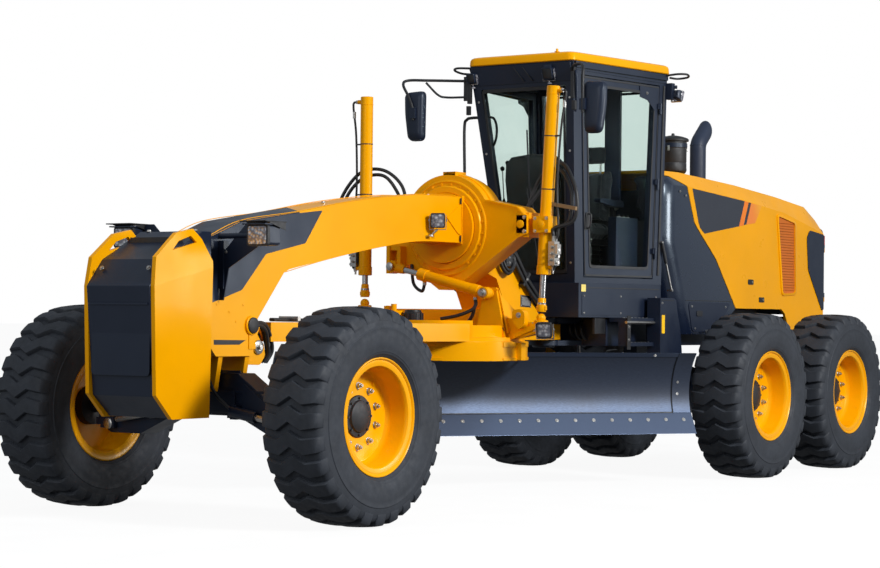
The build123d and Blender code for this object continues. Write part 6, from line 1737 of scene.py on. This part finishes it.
# ---------------------------------------------------------------- stage, light and camera
def floor_material():
    """Pale floor that takes the machine's shadow and is plain white where it is fully lit."""
    s = Shader("studio_floor")
    out = s.tree.nodes["Material Output"]
    ray = s.node("ShaderNodeLightPath")
    dim = s.node("ShaderNodeMath", operation="MULTIPLY")
    dim.inputs[1].default_value = 0.22
    s.link(ray.outputs["Is Glossy Ray"], dim.inputs[0])
    seen = s.node("ShaderNodeMath", operation="MAXIMUM")
    s.link(ray.outputs["Is Camera Ray"], seen.inputs[0])
    s.link(dim.outputs[0], seen.inputs[1])
    glow = s.node("ShaderNodeEmission")
    s.link(seen.outputs[0], glow.inputs["Strength"])
    glow.inputs["Color"].default_value = (0.93, 0.93, 0.93, 1)
    both = s.node("ShaderNodeAddShader")
    grain = s.ranged(s.noise(2.0, 4), 0.3, 0.7, 0, 1)
    s.set(Base_Color=s.mixed(grain, (0.07, 0.07, 0.07, 1), (0.09, 0.09, 0.09, 1)), Roughness=0.9,
          Specular_IOR_Level=0.0)
    s.link(s.bsdf.outputs[0], both.inputs[0])
    s.link(glow.outputs[0], both.inputs[1])
    s.link(both.outputs[0], out.inputs["Surface"])
    return s.material


bpy.ops.mesh.primitive_plane_add(size=400, location=(0, 0, 0))
floor = bpy.context.object
floor.name = "floor"
floor.data.materials.append(floor_material())

world = bpy.data.worlds.new("studio")
bpy.context.scene.world = world
world.use_nodes = True
tree = world.node_tree
sky = tree.nodes["Background"]
sky.inputs["Color"].default_value = (0.86, 0.93, 1.0, 1)
sky.inputs["Strength"].default_value = 0.42
backdrop = tree.nodes.new("ShaderNodeBackground")
backdrop.inputs["Color"].default_value = (1, 1, 1, 1)
path = tree.nodes.new("ShaderNodeLightPath")
add = tree.nodes.new("ShaderNodeMath")
add.operation = "ADD"
add.use_clamp = True
tree.links.new(path.outputs["Is Camera Ray"], add.inputs[0])
tree.links.new(path.outputs["Is Transmission Ray"], add.inputs[1])
either = tree.nodes.new("ShaderNodeMixShader")
tree.links.new(add.outputs[0], either.inputs[0])
tree.links.new(sky.outputs[0], either.inputs[1])
tree.links.new(backdrop.outputs[0], either.inputs[2])
tree.links.new(either.outputs[0], tree.nodes["World Output"].inputs["Surface"])


def lamp(name, power, size, place, aim):
    """Soft square lamp that looks at a point."""
    light = bpy.data.lights.new(name, "AREA")
    light.energy, light.size = power, size
    made = bpy.data.objects.new(name, light)
    bpy.context.scene.collection.objects.link(made)
    made.location = place
    made.rotation_mode = "QUATERNION"
    made.rotation_quaternion = (Vector(aim) - Vector(place)).to_track_quat("-Z", "Y")
    return made


lamp("key", 2550, 3.0, (3, 15, 8.5), (0, 0, 1))
lamp("fill", 330, 8, (15, 0, 5), (0, 0, 1))
strip_lamp = lamp("strip", 240, 2.0, (-3.0, 7.3, 2.4), (-1.3, 0.5, 1.9))
strip_lamp.data.shape, strip_lamp.data.size_y = "RECTANGLE", 2.6
strip_lamp.visible_diffuse = False

CAMERA_PLACE = (14.029, 8.983, 1.2625)
CAMERA_RIGHT = Vector((-0.563541, 0.826024, 0.010287))
CAMERA_UP = Vector((0.016624, -0.00111, 0.999861))
camera_data = bpy.data.cameras.new("camera")
camera_data.sensor_width, camera_data.lens = 36, 89.02
camera_data.shift_x, camera_data.shift_y = -0.01213, 0.00658
camera = bpy.data.objects.new("camera", camera_data)
bpy.context.scene.collection.objects.link(camera)
back = CAMERA_RIGHT.cross(CAMERA_UP)
camera_turn = Matrix((CAMERA_RIGHT, CAMERA_UP, back)).transposed().to_4x4()
camera.matrix_world = Matrix.Translation(CAMERA_PLACE) @ camera_turn
bpy.context.scene.camera = camera
bpy.context.scene.view_settings.view_transform = "Standard"
